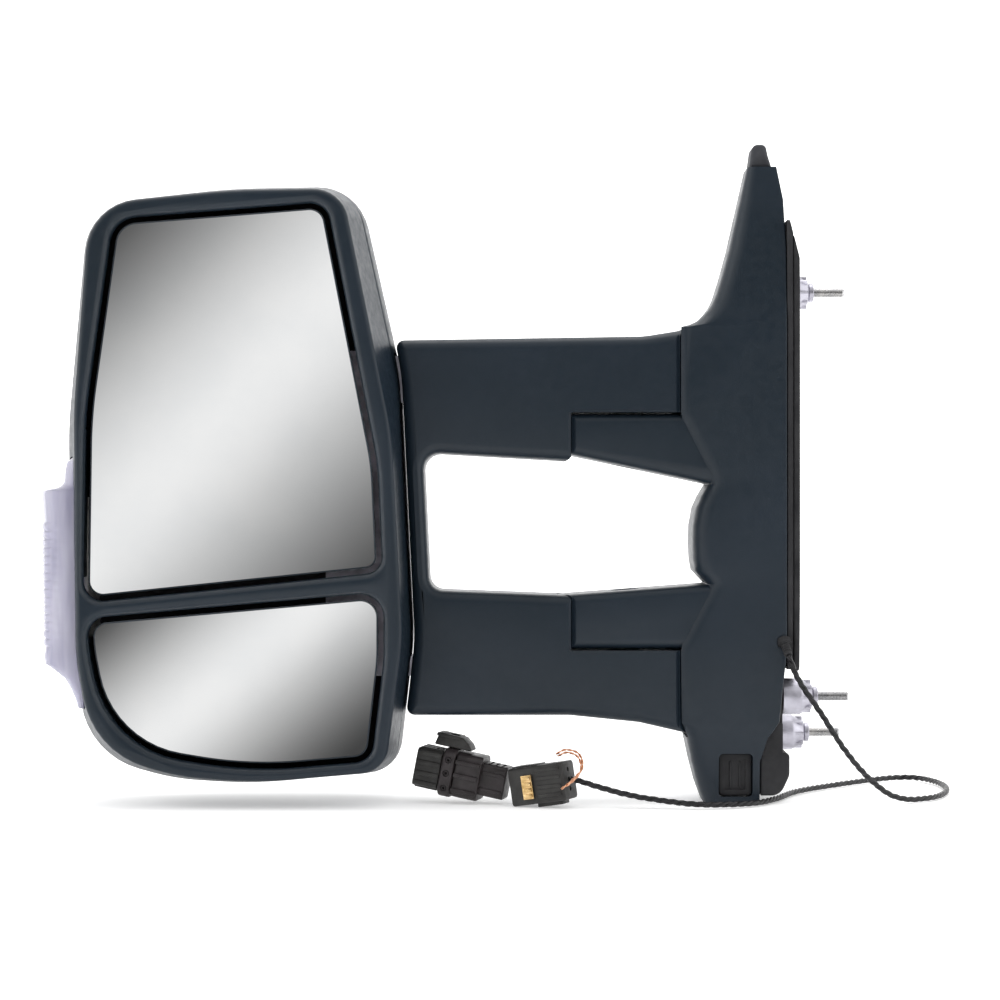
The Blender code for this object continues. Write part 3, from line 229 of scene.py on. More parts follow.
def cast_alloy():
    made = finish("cast_alloy", (0.5, 0.49, 0.55), 0.42, 1.0)
    return texture(made, (0.38, 0.37, 0.42), (0.6, 0.59, 0.66), (0.32, 0.5), 60.0, 900.0, 0.00009)


def painted_casting():
    made = finish("painted_casting", (0.02, 0.02, 0.021), 0.5, specular=0.45)
    return texture(made, (0.015, 0.0155, 0.017), (0.024, 0.024, 0.026), (0.4, 0.6), 45.0, 800.0, 0.00009)


def zinc_steel():
    made = finish("zinc_plated_steel", (0.5, 0.5, 0.52), 0.3, 1.0)
    return texture(made, (0.42, 0.42, 0.43), (0.62, 0.61, 0.6), (0.2, 0.36), 90.0, 1600.0, 0.00002)


def bare_brass():
    made = finish("bare_brass", (0.7, 0.45, 0.2), 0.3, 1.0)
    return texture(made, (0.55, 0.36, 0.14), (0.85, 0.6, 0.3), (0.2, 0.4), 160.0, 1800.0, 0.00002)


def seal_rubber():
    made = finish("seal_rubber", (0.02, 0.02, 0.022), 0.8, specular=0.3)
    return texture(made, (0.014, 0.014, 0.016), (0.03, 0.03, 0.032), (0.7, 0.9), 50.0, 1400.0, 0.00008)


def tab_rubber():
    made = finish("grey_tab_rubber", (0.05, 0.05, 0.06), 0.7, specular=0.35)
    return texture(made, (0.035, 0.036, 0.042), (0.06, 0.062, 0.07), (0.55, 0.75), 70.0, 1500.0, 0.00007)


def pale_acetal():
    made = finish("natural_acetal", (0.7, 0.7, 0.68), 0.5)
    return texture(made, (0.62, 0.62, 0.6), (0.76, 0.76, 0.74), (0.42, 0.58), 40.0, 1300.0, 0.00003)


def plug_plastic():
    made = finish("brown_black_plug", (0.03, 0.024, 0.024), 0.45, specular=0.4)
    return texture(made, (0.018, 0.014, 0.0145), (0.036, 0.029, 0.031), (0.34, 0.56), 90.0, 1700.0, 0.00006)


def plug_grey():
    made = finish("grey_black_plug", (0.03, 0.03, 0.03), 0.5, specular=0.4)
    return texture(made, (0.022, 0.021, 0.02), (0.04, 0.039, 0.037), (0.4, 0.6), 90.0, 1700.0, 0.00006)


def wire_sleeve():
    made = finish("wire_sleeve", (0.008, 0.008, 0.01), 0.4, specular=0.45)
    return texture(made, (0.005, 0.005, 0.006), (0.014, 0.013, 0.016), (0.3, 0.5), 120.0, 2000.0, 0.00003)


def copper_wire():
    made = finish("copper_strands", (0.75, 0.36, 0.2), 0.3, 1.0)
    return texture(made, (0.55, 0.24, 0.12), (0.9, 0.5, 0.32), (0.2, 0.4), 200.0, 2200.0, 0.00002)


def clear_lens():
    """A clear moulding with a lilac cast, faintly streaked inside."""
    made = finish("lilac_lens", (0.6, 0.57, 0.72), 0.12)
    shader = shader_of(made)
    shader.inputs["Transmission Weight"].default_value = 0.45
    shader.inputs["IOR"].default_value = 1.49
    streaks = noise(made, 60.0, 3.0, (1.0, 1.0, 0.18))
    link(made, tint(made, streaks, (0.42, 0.41, 0.56), (0.78, 0.765, 0.88)), shader.inputs["Base Color"])
    link(made, spread(made, noise(made, 400.0), 0.08, 0.2), shader.inputs["Roughness"])
    link(made, raise_by(made, streaks, 0.0004, 0.4), shader.inputs["Normal"])
    return made


def silvered_glass(name, middle=None):
    """Mirror silver, with faint haze. Given a middle, it bends like a wide-angle glass round that point."""
    made = finish(name, (0.92, 0.93, 0.93), 0.02, 1.0)
    shader = shader_of(made)
    haze = noise(made, 25.0, 4.0)
    link(made, tint(made, haze, (0.90, 0.91, 0.915), (0.94, 0.945, 0.945)), shader.inputs["Base Color"])
    link(made, spread(made, haze, 0.012, 0.03), shader.inputs["Roughness"])
    if middle:
        place = node(made, "ShaderNodeTexCoord")
        shift = node(made, "ShaderNodeVectorMath", operation="SUBTRACT")
        shift.inputs[1].default_value = middle
        bow = node(made, "ShaderNodeVectorMath", operation="MULTIPLY_ADD")
        bow.inputs[1].default_value = (0.30, 0.0, 0.42)
        bow.inputs[2].default_value = (0.0, 0.0, 0.083)
        skin = node(made, "ShaderNodeNewGeometry")
        total = node(made, "ShaderNodeVectorMath", operation="ADD")
        unit = node(made, "ShaderNodeVectorMath", operation="NORMALIZE")
        link(made, place.outputs["Object"], shift.inputs[0])
        link(made, shift.outputs["Vector"], bow.inputs[0])
        link(made, skin.outputs["Normal"], total.inputs[0])
        link(made, bow.outputs["Vector"], total.inputs[1])
        link(made, total.outputs["Vector"], unit.inputs[0])
        link(made, unit.outputs["Vector"], shader.inputs["Normal"])
    return made


SHELL = moulded_shell()
STRUCTURE = dark_structure()
ALLOY = cast_alloy()
PAINTED = painted_casting()
STEEL = zinc_steel()
BRASS = bare_brass()
RUBBER = seal_rubber()
TAB_RUBBER = tab_rubber()
ACETAL = pale_acetal()
PLUG_BROWN = plug_plastic()
PLUG_GREY = plug_grey()
SLEEVE_BLACK = wire_sleeve()
COPPER = copper_wire()
LENS = clear_lens()
MIRROR = silvered_glass("silvered_glass")
WIDE_MIRROR = silvered_glass("wide_angle_silver", (-0.3535, -0.05, -0.1129))
SLOT_FINISH = {
    "shell": SHELL, "structure": STRUCTURE, "alloy": ALLOY, "coated_alloy": PAINTED, "steel": STEEL,
    "rubber": RUBBER, "mirror_glass": MIRROR, "lens": LENS, "pale_plastic": ACETAL,
    "connector": PLUG_BROWN, "brass": BRASS, "cable_sleeve": SLEEVE_BLACK,
}

# ------------------------------------------------------------------ modelling steps


def select_only(piece):
    bpy.ops.object.select_all(action="DESELECT")
    piece.select_set(True)
    bpy.context.view_layer.objects.active = piece


def edit(piece):
    select_only(piece)
    bpy.ops.object.mode_set(mode="EDIT")
    return bmesh.from_edit_mesh(piece.data)


def leave_edit(outward=True):
    if outward:
        bpy.ops.mesh.select_all(action="SELECT")
        bpy.ops.mesh.normals_make_consistent(inside=False)
    bpy.ops.object.mode_set(mode="OBJECT")


def added(name):
    piece = bpy.context.object
    piece.name = piece.data.name = name
    return piece


def loft(name, rings):
    """A circle laid on the first ring, extruded on to each next ring, and closed at both ends."""
    bpy.ops.object.select_all(action="DESELECT")
    bpy.ops.mesh.primitive_circle_add(vertices=len(rings[0]), radius=0.01)
    piece = added(name)
    shape = edit(piece)
    number = shape.verts.layers.int.new("place")
    shape.verts.ensure_lookup_table()
    for i, vert in enumerate(shape.verts):
        vert[number] = i
        vert.co = Vector(rings[0][i]) * MM
    bmesh.update_edit_mesh(piece.data)
    bpy.ops.mesh.edge_face_add()
    for ring in rings[1:]:
        bpy.ops.mesh.extrude_region()
        shape = bmesh.from_edit_mesh(piece.data)
        number = shape.verts.layers.int["place"]
        for vert in shape.verts:
            if vert.select:
                vert.co = Vector(ring[vert[number]]) * MM
        bmesh.update_edit_mesh(piece.data)
    leave_edit()
    return piece


def inset(corners, by):
    """The outline moved inwards, its corner radii following; a negative distance moves it outwards."""
    count = len(corners)
    area = sum(corners[i - 1][0] * corners[i][1] - corners[i][0] * corners[i - 1][1] for i in range(count))
    side = 1 if area > 0 else -1
    moved = []
    for i, (x, z, radius) in enumerate(corners):
        here = Vector((x, z))
        before = (here - Vector(corners[i - 1][:2])).normalized()
        after = (Vector(corners[(i + 1) % count][:2]) - here).normalized()
        inwards = [Vector((-way.y, way.x)) * side for way in (before, after)]
        here += by * (inwards[0] + inwards[1]) / (1 + inwards[0].dot(inwards[1]))
        convex = before.cross(after) * side > 0
        moved.append((here.x, here.y, max(0.3, radius - by if convex else radius + by)))
    return moved


def rounded(corners, steps=8):
    """The outline's points, with an arc at each corner."""
    points = []
    for i, (x, z, radius) in enumerate(corners):
        here = Vector((x, z))
        back = (Vector(corners[i - 1][:2]) - here).normalized()
        ahead = (Vector(corners[(i + 1) % len(corners)][:2]) - here).normalized()
        half = back.angle(ahead) / 2
        centre = here + (back + ahead).normalized() * radius / math.sin(half)
        first = here + back * radius / math.tan(half) - centre
        last = here + ahead * radius / math.tan(half) - centre
        swing = math.atan2(first.cross(last), first.dot(last))
        for step in range(steps + 1):
            points.append(tuple(centre + Matrix.Rotation(swing * step / steps, 2) @ first))
    return points


ALONG = {"x": lambda u, v, w: (w, u, v), "y": lambda u, v, w: (u, w, v), "z": lambda u, v, w: (u, v, w)}


def pressed(name, corners, axis, near, far, edge=0.0, steps=6, turns=4):
    """An outline pushed along an axis, with both rims rounded."""
    levels = [(near, 0.0), (far, 0.0)]
    if edge:
        quarter = [math.pi / 2 * step / turns for step in range(turns + 1)]
        rim = [(edge * (1 - math.cos(turn)), edge * (1 - math.sin(turn))) for turn in quarter]
        levels = [(near + depth, shrink) for depth, shrink in rim]
        levels += [(far - depth, shrink) for depth, shrink in reversed(rim)]
    rings = []
    for depth, shrink in levels:
        rings.append([ALONG[axis](u, v, depth) for u, v in rounded(inset(corners, shrink), steps)])
    return loft(name, rings)


AIM = {"x": Matrix.Rotation(math.pi / 2, 4, "Y"), "y": Matrix.Rotation(-math.pi / 2, 4, "X"), "z": Matrix()}


def lay(piece, at, way=Matrix()):
    """Puts a finished shape at its place, in its own mesh."""
    select_only(piece)
    piece.matrix_world = Matrix.Translation(Vector(at) * MM) @ way
    bpy.ops.object.transform_apply(location=True, rotation=True, scale=True)
    return piece


def turned(name, axis, at, profile, steps=48, way=None):
    """A closed profile of (radius, height) spun about an axis through the point at."""
    bpy.ops.object.select_all(action="DESELECT")
    bpy.ops.mesh.primitive_circle_add(vertices=len(profile), radius=0.01)
    piece = added(name)
    shape = edit(piece)
    shape.verts.ensure_lookup_table()
    for vert, (radius, height) in zip(shape.verts, profile):
        vert.co = Vector((radius, 0, height)) * MM
    bmesh.update_edit_mesh(piece.data)
    bpy.ops.mesh.select_all(action="SELECT")
    bpy.ops.mesh.spin(steps=steps, angle=2 * math.pi, center=(0, 0, 0), axis=(0, 0, 1))
    bpy.ops.mesh.select_all(action="SELECT")
    bpy.ops.mesh.remove_doubles(threshold=0.000004)
    bpy.ops.mesh.delete_loose()
    leave_edit()
    return lay(piece, at, AIM[axis] if way is None else way)


def block(name, low, high, edge=0.0, segments=3):
    """A cube sized to its two corners, with its edges bevelled."""
    bpy.ops.object.select_all(action="DESELECT")
    middle = (Vector(low) + Vector(high)) / 2 * MM
    bpy.ops.mesh.primitive_cube_add(size=MM, location=middle)
    piece = added(name)
    piece.scale = Vector(high) - Vector(low)
    bpy.ops.object.transform_apply(location=True, rotation=True, scale=True)
    if edge:
        edit(piece)
        bpy.ops.mesh.select_all(action="SELECT")
        bpy.ops.mesh.bevel(offset=edge * MM, segments=segments, affect="EDGES")
        leave_edit()
    return piece


def combine(piece, operation, *tools, keep=False):
    """Applies a Boolean with each tool, and throws the tools away unless another piece needs them."""
    for tool in tools:
        select_only(piece)
        modifier = piece.modifiers.new(tool.name, "BOOLEAN")
        modifier.operation = operation
        modifier.object = tool
        modifier.solver = "EXACT"
        bpy.ops.object.modifier_apply(modifier=modifier.name)
        if not keep:
            bpy.data.objects.remove(tool)
    return piece


def cut(piece, *tools, keep=False):
    return combine(piece, "DIFFERENCE", *tools, keep=keep)


def join(piece, *tools):
    return combine(piece, "UNION", *tools)


def fit(piece, material, body, slot, *nodes, smooth=32):
    """Gives a finished piece its surface and its body, and puts it in place of its CAD nodes."""
    piece.data.materials.clear()
    piece.data.materials.append(material)
    select_only(piece)
    bpy.ops.object.shade_smooth_by_angle(angle=math.radians(smooth))
    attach(piece, body)
    if nodes:
        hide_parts(*nodes)
    return piece


def swept(name, points, diameter, sides=8):
    """A round wire through points, as a mesh."""
    curve = bpy.data.curves.new(name, "CURVE")
    curve.dimensions = "3D"
    curve.bevel_depth = diameter / 2 * MM
    curve.bevel_resolution = max(0, sides // 4 - 1)
    curve.use_fill_caps = True
    spline = curve.splines.new("POLY")
    spline.points.add(len(points) - 1)
    for knot, point in zip(spline.points, points):
        knot.co = (*(Vector(point) * MM), 1)
    made = bpy.data.objects.new(name, curve)
    bpy.context.scene.collection.objects.link(made)
    select_only(made)
    bpy.ops.object.convert(target="MESH")
    return bpy.context.object


def bundled(pieces, name):
    bpy.ops.object.select_all(action="DESELECT")
    for piece in pieces:
        piece.select_set(True)
    bpy.context.view_layer.objects.active = pieces[0]
    bpy.ops.object.join()
    return added(name)


# ------------------------------------------------------------------ camera and cable


def camera():
    made = bpy.data.objects.new("studio_camera", bpy.data.cameras.new("studio_camera"))
    bpy.context.scene.collection.objects.link(made)
    made.location = (-0.189, -1.755, 0.0)
    made.rotation_euler = (math.pi / 2, 0, 0)
    made.data.lens = 98.7
    made.data.sensor_width = 36.0
    bpy.context.scene.camera = made


def smooth_route(points, spacing):
    """Evenly spaced points on a curve through the given ones, and its length."""
    knots = [Vector(point) for point in points]
    knots = [2 * knots[0] - knots[1]] + knots + [2 * knots[-1] - knots[-2]]
    fine = []
    for a, b, c, d in zip(knots, knots[1:], knots[2:], knots[3:]):
        for step in range(20):
            t = step / 20
            fine.append(0.5 * (2 * b + (c - a) * t + (2 * a - 5 * b + 4 * c - d) * t * t
                               + (3 * b - a - 3 * c + d) * t ** 3))
    fine.append(knots[-2])
    lengths = [0.0]
    for before, after in zip(fine, fine[1:]):
        lengths.append(lengths[-1] + (after - before).length)
    count = round(lengths[-1] / spacing)
    even, at = [], 0
    for i in range(count + 1):
        goal = lengths[-1] * i / count
        while at < len(fine) - 2 and lengths[at + 1] < goal:
            at += 1
        share = (goal - lengths[at]) / (lengths[at + 1] - lengths[at])
        even.append(fine[at].lerp(fine[at + 1], share))
    return even, lengths[-1]


def twisted(route, count, pitch, radius, strand_d, sides=8):
    """Strands that wind round a route."""
    made = []
    up = Vector((0, 0, 1))
    for strand in range(count):
        points = []
        for i, point in enumerate(route):
            way = (route[min(i + 1, len(route) - 1)] - route[max(i - 1, 0)]).normalized()
            side = way.cross(up).normalized()
            rise = side.cross(way)
            turn = 2 * math.pi * (strand / count + i / pitch)
            points.append(point + radius * (side * math.cos(turn) + rise * math.sin(turn)))
        made.append(swept(f"strand_{strand}", points, strand_d, sides))
    return made


def wiring():
    route, length = smooth_route(ROUTE, 2.0)
    bundle = bundled(twisted(route, 3, 9, 0.95, 2.05), "twisted_cable")
    fit(bundle, SLEEVE_BLACK, "base", "cable_sleeve", "harness_cable", smooth=60)
    return bundle, [point * MM for point in route], length * MM


camera()
CABLE, CABLE_PATH, CABLE_LENGTH = wiring()

# ------------------------------------------------------------------ head


def head_corners(corners):
    return [(HEAD_RIGHT + x, z, radius) for x, z, radius in corners]


HEAD_LEFT = HEAD_RIGHT + WAIST[0][0]
HEAD_MIDDLE = (HEAD_RIGHT - 110.0, 9.0)


def head_edge(z):
    edge = [(HEAD_RIGHT + x, height) for x, height, _ in WAIST[3:7]]
    for (x0, z0), (x1, z1) in zip(edge, edge[1:]):
        if z1 <= z <= z0:
            return x0 + (x1 - x0) * (z - z0) / (z1 - z0)
    return edge[0][0] if z > edge[0][1] else edge[-1][0]


def head_ring(y, blend, scale=1.0, skin=0.0, steps=8):
    cx, cz = HEAD_MIDDLE
    corners = []
    for (x0, z0, r0), (x1, z1, r1) in zip(head_corners(LIP), head_corners(WAIST)):
        x, z = x0 + (x1 - x0) * blend, z0 + (z1 - z0) * blend
        corners.append((cx + (x - cx) * scale, cz + (z - cz) * scale, (r0 + (r1 - r0) * blend) * scale))
    return [(x, y, z) for x, z in rounded(inset(corners, skin), steps)]


def lens_bulge(z):
    for (z0, b0), (z1, b1) in zip(LENS_BULGE, LENS_BULGE[1:]):
        if z0 <= z <= z1:
            return b0 + (b1 - b0) * (z - z0) / (z1 - z0)
    return LENS_BULGE[0][1] if z < LENS_BULGE[0][0] else LENS_BULGE[-1][1]


def lens_form(name, grow, open_by=0.0, ribbed=False):
    low, high, pitch = LENS_RIBS
    levels = {z for z, _ in LENS_BULGE}
    if ribbed:
        levels |= {low + i * pitch / 4 for i in range(61)}
    levels = sorted(levels)
    rings = []
    for z in levels:
        bulge = lens_bulge(z)
        notch = 0.0
        if ribbed and low <= z <= high:
            notch = 1.1 * max(0.0, math.cos(2 * math.pi * (z - low) / pitch))
        outer = []
        for i, (x, y) in enumerate(LENS_OUTER):
            dent = notch if 3 <= i <= 6 else 0.0
            outer.append((LENS_BACK + (x - LENS_BACK) * bulge + dent, y))
        inner = [(x + open_by, y) for x, y in LENS_INNER]
        corners = inset([(HEAD_LEFT + x, y, 0.0) for x, y in outer + inner], -grow)
        edge = {levels[0]: -grow, levels[-1]: grow}.get(z, 0)
        rings.append([(x, y, z + edge) for x, y, _ in corners])
    return loft(name, rings)


def beam_way(name, low, high):
    edges = [head_edge(z) for z in (low, high)]
    return block(name, (min(edges) - 14, -13, low - 1.5), (max(edges) + 6.7, 13, high + 1.5))


# Tools that cut the frame and the cap alike; the two ways cut the yoke too.
LENS_SEAT = lens_form("lens_seat", 0.9)
UPPER_WAY = beam_way("upper_way", 60.0, 92.0)
LOWER_WAY = beam_way("lower_way", -112.0, -99.0)


def slot_liner(name, corners, low, high):
    """A thin strip beside a glass, which closes the view from its slot into the indicator."""
    liner = pressed(f"{name}_liner", inset(corners, -3.7), "y", -52, -28, 0, 8)
    cut(liner, pressed(f"{name}_liner_way", inset(corners, -3.2), "y", -60, -20, 0, 8))
    return combine(liner, "INTERSECT", block("liner_reach", (HEAD_LEFT, -80, low), (HEAD_LEFT + 34, 0, high)))


def glass_frame():
    """The moulding round both glasses: a rounded outer lip, a face that falls inwards and two funnels."""
    lip = []
    for step in range(6):
        turn = math.pi / 2 * step / 5
        lip.append((LIP_Y + 3.4 * (1 - math.sin(turn)), 3.4 * (1 - math.cos(turn))))
    rings = [head_ring(y, 0.02, 1, skin) for y, skin in reversed(lip)]
    rings += [head_ring(y, 0.02 + (SEAM_BLEND - 0.02) * (y - LIP_Y - 3.4) / (SEAM_Y - LIP_Y - 3.4))
              for y in (-48, -40, -31, SEAM_Y - 0.5)]
    rings.append(head_ring(SEAM_Y, SEAM_BLEND, 1, 0.5))
    piece = loft("glass_frame", rings)
    hollow = [head_ring(LIP_Y + SKIN + 0.6, 0, 1, SKIN + 3.5), head_ring(LIP_Y + 6, 0.1, 1, SKIN),
              head_ring(SEAM_Y + 5, SEAM_BLEND + 0.1, 1, SKIN)]
    cut(piece, loft("frame_hollow", hollow))
    for name, outline in (("main", MAIN_GLASS), ("spot", SPOT_GLASS)):
        corners = head_corners(outline)
        join(piece, pressed(f"{name}_collar", inset(corners, -7.0), "y", LIP_Y + 1.8, -46.5, steps=8))
    for name, outline in (("main", MAIN_GLASS), ("spot", SPOT_GLASS)):
        corners = head_corners(outline)
        funnel = [(-57.6, 7.6), (-57.0, 6.9), (-56.5, 6.1), (-55.6, 5.2),
                  (-54.2, 4.4), (-52.4, 3.9), (-51.0, 3.5), (-45.5, 3.5)]
        rings = [[(x, y, z) for x, z in rounded(inset(corners, -grow), 8)] for y, grow in funnel]
        cut(piece, loft(f"{name}_funnel", rings))
    cut(piece, LENS_SEAT, UPPER_WAY, LOWER_WAY, keep=True)
    join(piece, slot_liner("main", head_corners(MAIN_GLASS), -48, 44),
         slot_liner("spot", head_corners(SPOT_GLASS), -145, -86))
    return fit(piece, SHELL, "arm", "shell", "head_bezel", smooth=40)


def head_cap():
    """The smooth bowl behind the glasses."""
    rows = [(-21.7, SEAM_BLEND, 1.0, 0.5), (-21.2, SEAM_BLEND + 0.01, 1.0, 0.0), (-17, 0.88, 1.0, 0.0),
            (-11, 0.96, 1.0, 0.0), (-4, 1.0, 1.0, 0.0), (4, 1.0, 1.0, 0.0), (12, 1.0, 1.0, 0.0)]
    for step in range(1, 19):
        deep = math.sin(math.pi / 2 * step / 18)
        scale = (1 - deep ** 2.4) ** (1 / 2.2)
        rows.append((12 + 63.5 * deep, 1.0, max(0.03, scale), 0.0))
    piece = loft("cap_moulding", [head_ring(*row) for row in rows])
    inner = [head_ring(-26, SEAM_BLEND - 0.1, 1.0, SKIN)]
    inner += [head_ring(y - SKIN * (1 - scale), blend, scale, SKIN) for y, blend, scale, _ in rows[2:-2]]
    cut(piece, loft("cap_hollow", inner))
    cut(piece, LENS_SEAT, UPPER_WAY, LOWER_WAY, keep=True)
    return fit(piece, SHELL, "arm", "shell", "head_cap", smooth=40)


def indicator_lens():
    piece = lens_form("lilac_indicator", 0, ribbed=True)
    cut(piece, lens_form("lens_hollow", -2.0, 8.0))
    return fit(piece, LENS, "arm", "lens", "lens_cover", smooth=25)


def glass(name, outline, material, body, node_name):
    """A pane with a ground bevel round its face."""
    corners = head_corners(outline)
    levels = [(-49.2, 0.0), (-49.5, 0.05), (-50.0, 1.0)]
    rings = [[(x, y, z) for x, z in rounded(inset(corners, shrink), 10)] for y, shrink in reversed(levels)]
    rings.append([(x, -47.5, z) for x, z in rounded(corners, 10)])
    piece = loft(name, rings)
    return fit(piece, material, body, "mirror_glass", node_name, smooth=10)


glass_frame()
head_cap()
indicator_lens()
glass("main_pane", MAIN_GLASS, MIRROR, "main_mirror", "main_glass")
glass("spot_pane", SPOT_GLASS, WIDE_MIRROR, "spot_mirror", "spot_glass")

# ------------------------------------------------------------------ yoke


def half_round(name, side, radius, low, high):
    """A slab whose end is round about the folding axis."""
    turns = [math.pi * step / 32 - math.pi / 2 for step in range(33)]
    plan = [(HINGE_X + side * radius * math.cos(turn), radius * math.sin(turn)) for turn in turns]
    plan += [(HINGE_X - side * 400, radius), (HINGE_X - side * 400, -radius)]
    return loft(name, [[(x, y, z) for x, y in plan] for z in (low, high)])


def yoke_outline():
    def left(z):
        return head_edge(z) + 1.2

    end = HINGE_X + TONGUE_R + 2
    return [
        (left(101), 101, 5), (HINGE_X + 11, 103.5, 60), (end, 109, 1), (end, 20, 1),
        (left(30) + 11.2, 30, 10), (left(-57) + 11.2, -57, 9), (HINGE_X - 40, -60.2, 20), (end, -60, 1),
        (end, -149, 1), (HINGE_X + 8, -140.5, 20), (HINGE_X - 36, -136, 30), (left(-136), -136, 5),
        (left(-88.8), -88.8, 150), (left(81.2), 81.2, 150),
    ]


def yoke_form(name, skin):
    half = 28.0 - skin
    form = pressed(name, inset(yoke_outline(), skin), "y", -half, half, max(1.0, 7.0 - skin), 6, 5)
    combine(form, "INTERSECT", half_round("tongue_ends", 1, TONGUE_R - skin, -200, 200))
    return cut(form, half_round("pocket", -1, TONGUE_R + 1 + skin, LOWER_SPLIT - skin, UPPER_SPLIT + skin))


# Where the arms' and the base's mouldings meet on their faces: (x, z) of both ends, and the groove's size.
SEAMS = [
    ((-142.9, 27), (-142.9, 55), 4.4), ((-142.9, 54.9), (-76, 54.9), 2.6),
    ((-76.6, 54), (-76.6, 112), 2.6), ((-142.9, -95), (-142.9, -57), 4.4),
    ((-142.9, -94.5), (-76, -94.5), 2.6), ((-76.6, -152), (-76.6, -94), 2.6),
]


def seam_grooves(piece):
    """Breaks the edges on both sides of every seam by a groove in the front and rear faces."""
    for side in (-28.2, 28.2):
        for (x0, z0), (x1, z1), size in SEAMS:
            length = math.dist((x0, z0), (x1, z1))
            bar = block("seam_bar", (-size / 2, -size / 2, 0), (size / 2, size / 2, length))
            along = Vector((x1 - x0, 0, z1 - z0)).to_track_quat("Z", "Y").to_matrix().to_4x4()
            lay(bar, (x0, side, z0), along @ Matrix.Rotation(math.pi / 4, 4, "Z"))
            cut(piece, bar)


def yoke():
    hollow = yoke_form("yoke_hollow", SKIN)
    whole = yoke_form("yoke_whole", 0)
    cut(whole, hollow)
    seam_grooves(whole)
    cut(whole, UPPER_WAY, LOWER_WAY, keep=True)
    cut(whole, turned("bush_way", "z", (HINGE_X, 0, 0), [(0, 62), (9.3, 62), (9.3, -102), (0, -102)], 32))
    for name, y0, y1 in (("rear", -60, -0.15), ("front", 0.15, 60)):
        bpy.ops.object.select_all(action="DESELECT")
        whole.select_set(True)
        bpy.context.view_layer.objects.active = whole
        bpy.ops.object.duplicate()
        half = added(f"yoke_{name}_moulding")
        combine(half, "INTERSECT", block(f"{name}_side", (-500, y0, -300), (100, y1, 300)))
        fit(half, SHELL, "arm", "shell", f"yoke_{name}_shell", smooth=40)
    bpy.data.objects.remove(whole)


yoke()

# ------------------------------------------------------------------ base


def cover_row(z):
    if z >= COVER_ROWS[0][0]:
        return COVER_ROWS[0][1:]
    for high, low in zip(COVER_ROWS, COVER_ROWS[1:]):
        if low[0] <= z <= high[0]:
            share = (high[0] - z) / (high[0] - low[0])
            return [a + (b - a) * share for a, b in zip(high[1:], low[1:])]
    return COVER_ROWS[-1][1:]


STUB_END = HINGE_X - TONGUE_R - 2
STUBS = {
    "upper_stub": [(STUB_END, UPPER_SPLIT - 1, 1), (-40, UPPER_SPLIT - 1, 1), (-40, 8, 1), (-56, 10, 30),
                   (STUB_END, 30.6, 1)],
    "lower_stub": [(STUB_END, -60.5, 1), (-58, -53.3, 20), (-40, -52, 1), (-40, LOWER_SPLIT + 1, 1),
                   (STUB_END, LOWER_SPLIT + 1, 1)],
}


def cover_heights():
    """The rows' heights, with more between them where the outline turns as it rises."""
    heights = [COVER_ROWS[0][0]]
    for high, low in zip(COVER_ROWS, COVER_ROWS[1:]):
        steps = max(1, round(abs(high[1] - low[1]) / 3)) if high[0] < 60 else 1
        heights += [high[0] + (low[0] - high[0]) * (step + 1) / steps for step in range(steps)]
    return heights


def cover_form(name, skin):
    rings = []
    for height in cover_heights():
        z = min(max(height, FLOOR_Z + skin), COVER_ROWS[0][0] - skin)
        near = [cover_row(z + shift) for shift in (-skin, 0, skin)]
        left = max(values[0] for values in near)
        rear, middle, front, door = near[1][1:]
        radius = min(12, 0.35 * (door - left))
        if skin:
            door += 30
            front += (front - middle) * 30 / (door - 30 - left)
        corners = [(door, rear, 1), (left, rear, radius), (left, middle, radius), (door, front, 1.5)]
        rings.append([(x, y, z) for x, y in rounded(inset(corners, skin), 8)])
    form = loft(name, rings)
    radius = TONGUE_R + 1 + skin
    for low, high in ((40 - skin, 111 + skin), (-150.2 - skin, -82 + skin)):
        disc = [(0, high), (radius, high), (radius, low), (0, low)]
        cut(form, turned("arm_pocket", "z", (HINGE_X, 0, 0), disc, 64))
    for side, stub in STUBS.items():
        half = 27.0 - skin
        arm = pressed(side, inset(stub, skin), "y", -half, half, 6.0 - skin, 6, 5)
        combine(arm, "INTERSECT", half_round("stub_end", -1, TONGUE_R - skin, -200, 200))
        join(form, arm)
    return form


def grommet_profile(grow):
    long = (Vector(ROUTE[0]) - GROMMET_AT).length - 0.9
    return [(0, long + grow), (2.6 + grow, long + grow), (3.2 + grow, 4 + grow), (4.2 + grow, 4 + grow),
            (4.2 + grow, -grow), (0, -grow)]


GROMMET_WAY = (Vector(ROUTE[0]) - GROMMET_AT).to_track_quat("Z", "Y").to_matrix().to_4x4()


def grommet_hole():
    return turned("grommet_hole", "z", GROMMET_AT, grommet_profile(0.3), 24, way=GROMMET_WAY)


def base_shell():
    cover = cover_form("base_moulding", 0)
    cut(cover, cover_form("base_hollow", SKIN))
    seam_grooves(cover)
    join(cover, block("recess_walls", (-53, -23.5, -189.5), (-27.5, -16, -158)))
    recess = [(-51, -187.5, 3), (-29.5, -187.5, 3), (-29.5, -160, 3), (-51, -160, 3)]
    cut(cover, pressed("recess", recess, "y", -40, -14))
    cut(cover, turned("stub_bush_way", "z", (HINGE_X, 0, 0), [(0, 58), (9.3, 58), (9.3, -97), (0, -97)], 32))
    cut(cover, grommet_hole())
    return fit(cover, SHELL, "base", "shell", "base_cover", smooth=40)


def stud_ways(piece):
    for y, z in STUDS.values():
        cut(piece, turned("stud_way", "x", (0, y, z), [(0, 5), (11.9, 5), (11.9, -30), (0, -30)], 40))


def backplate():
    plate = pressed("door_plate", inset(SEAL_OUTLINE, 1), "x", -8, -4, 0.8, 8, 3)
    cut(plate, pressed("plate_slant", SEAL_SLANT, "y", -40, 120))
    stud_ways(plate)
    cut(plate, grommet_hole())
    return fit(plate, STRUCTURE, "base", "structure", "base_backplate", smooth=40)


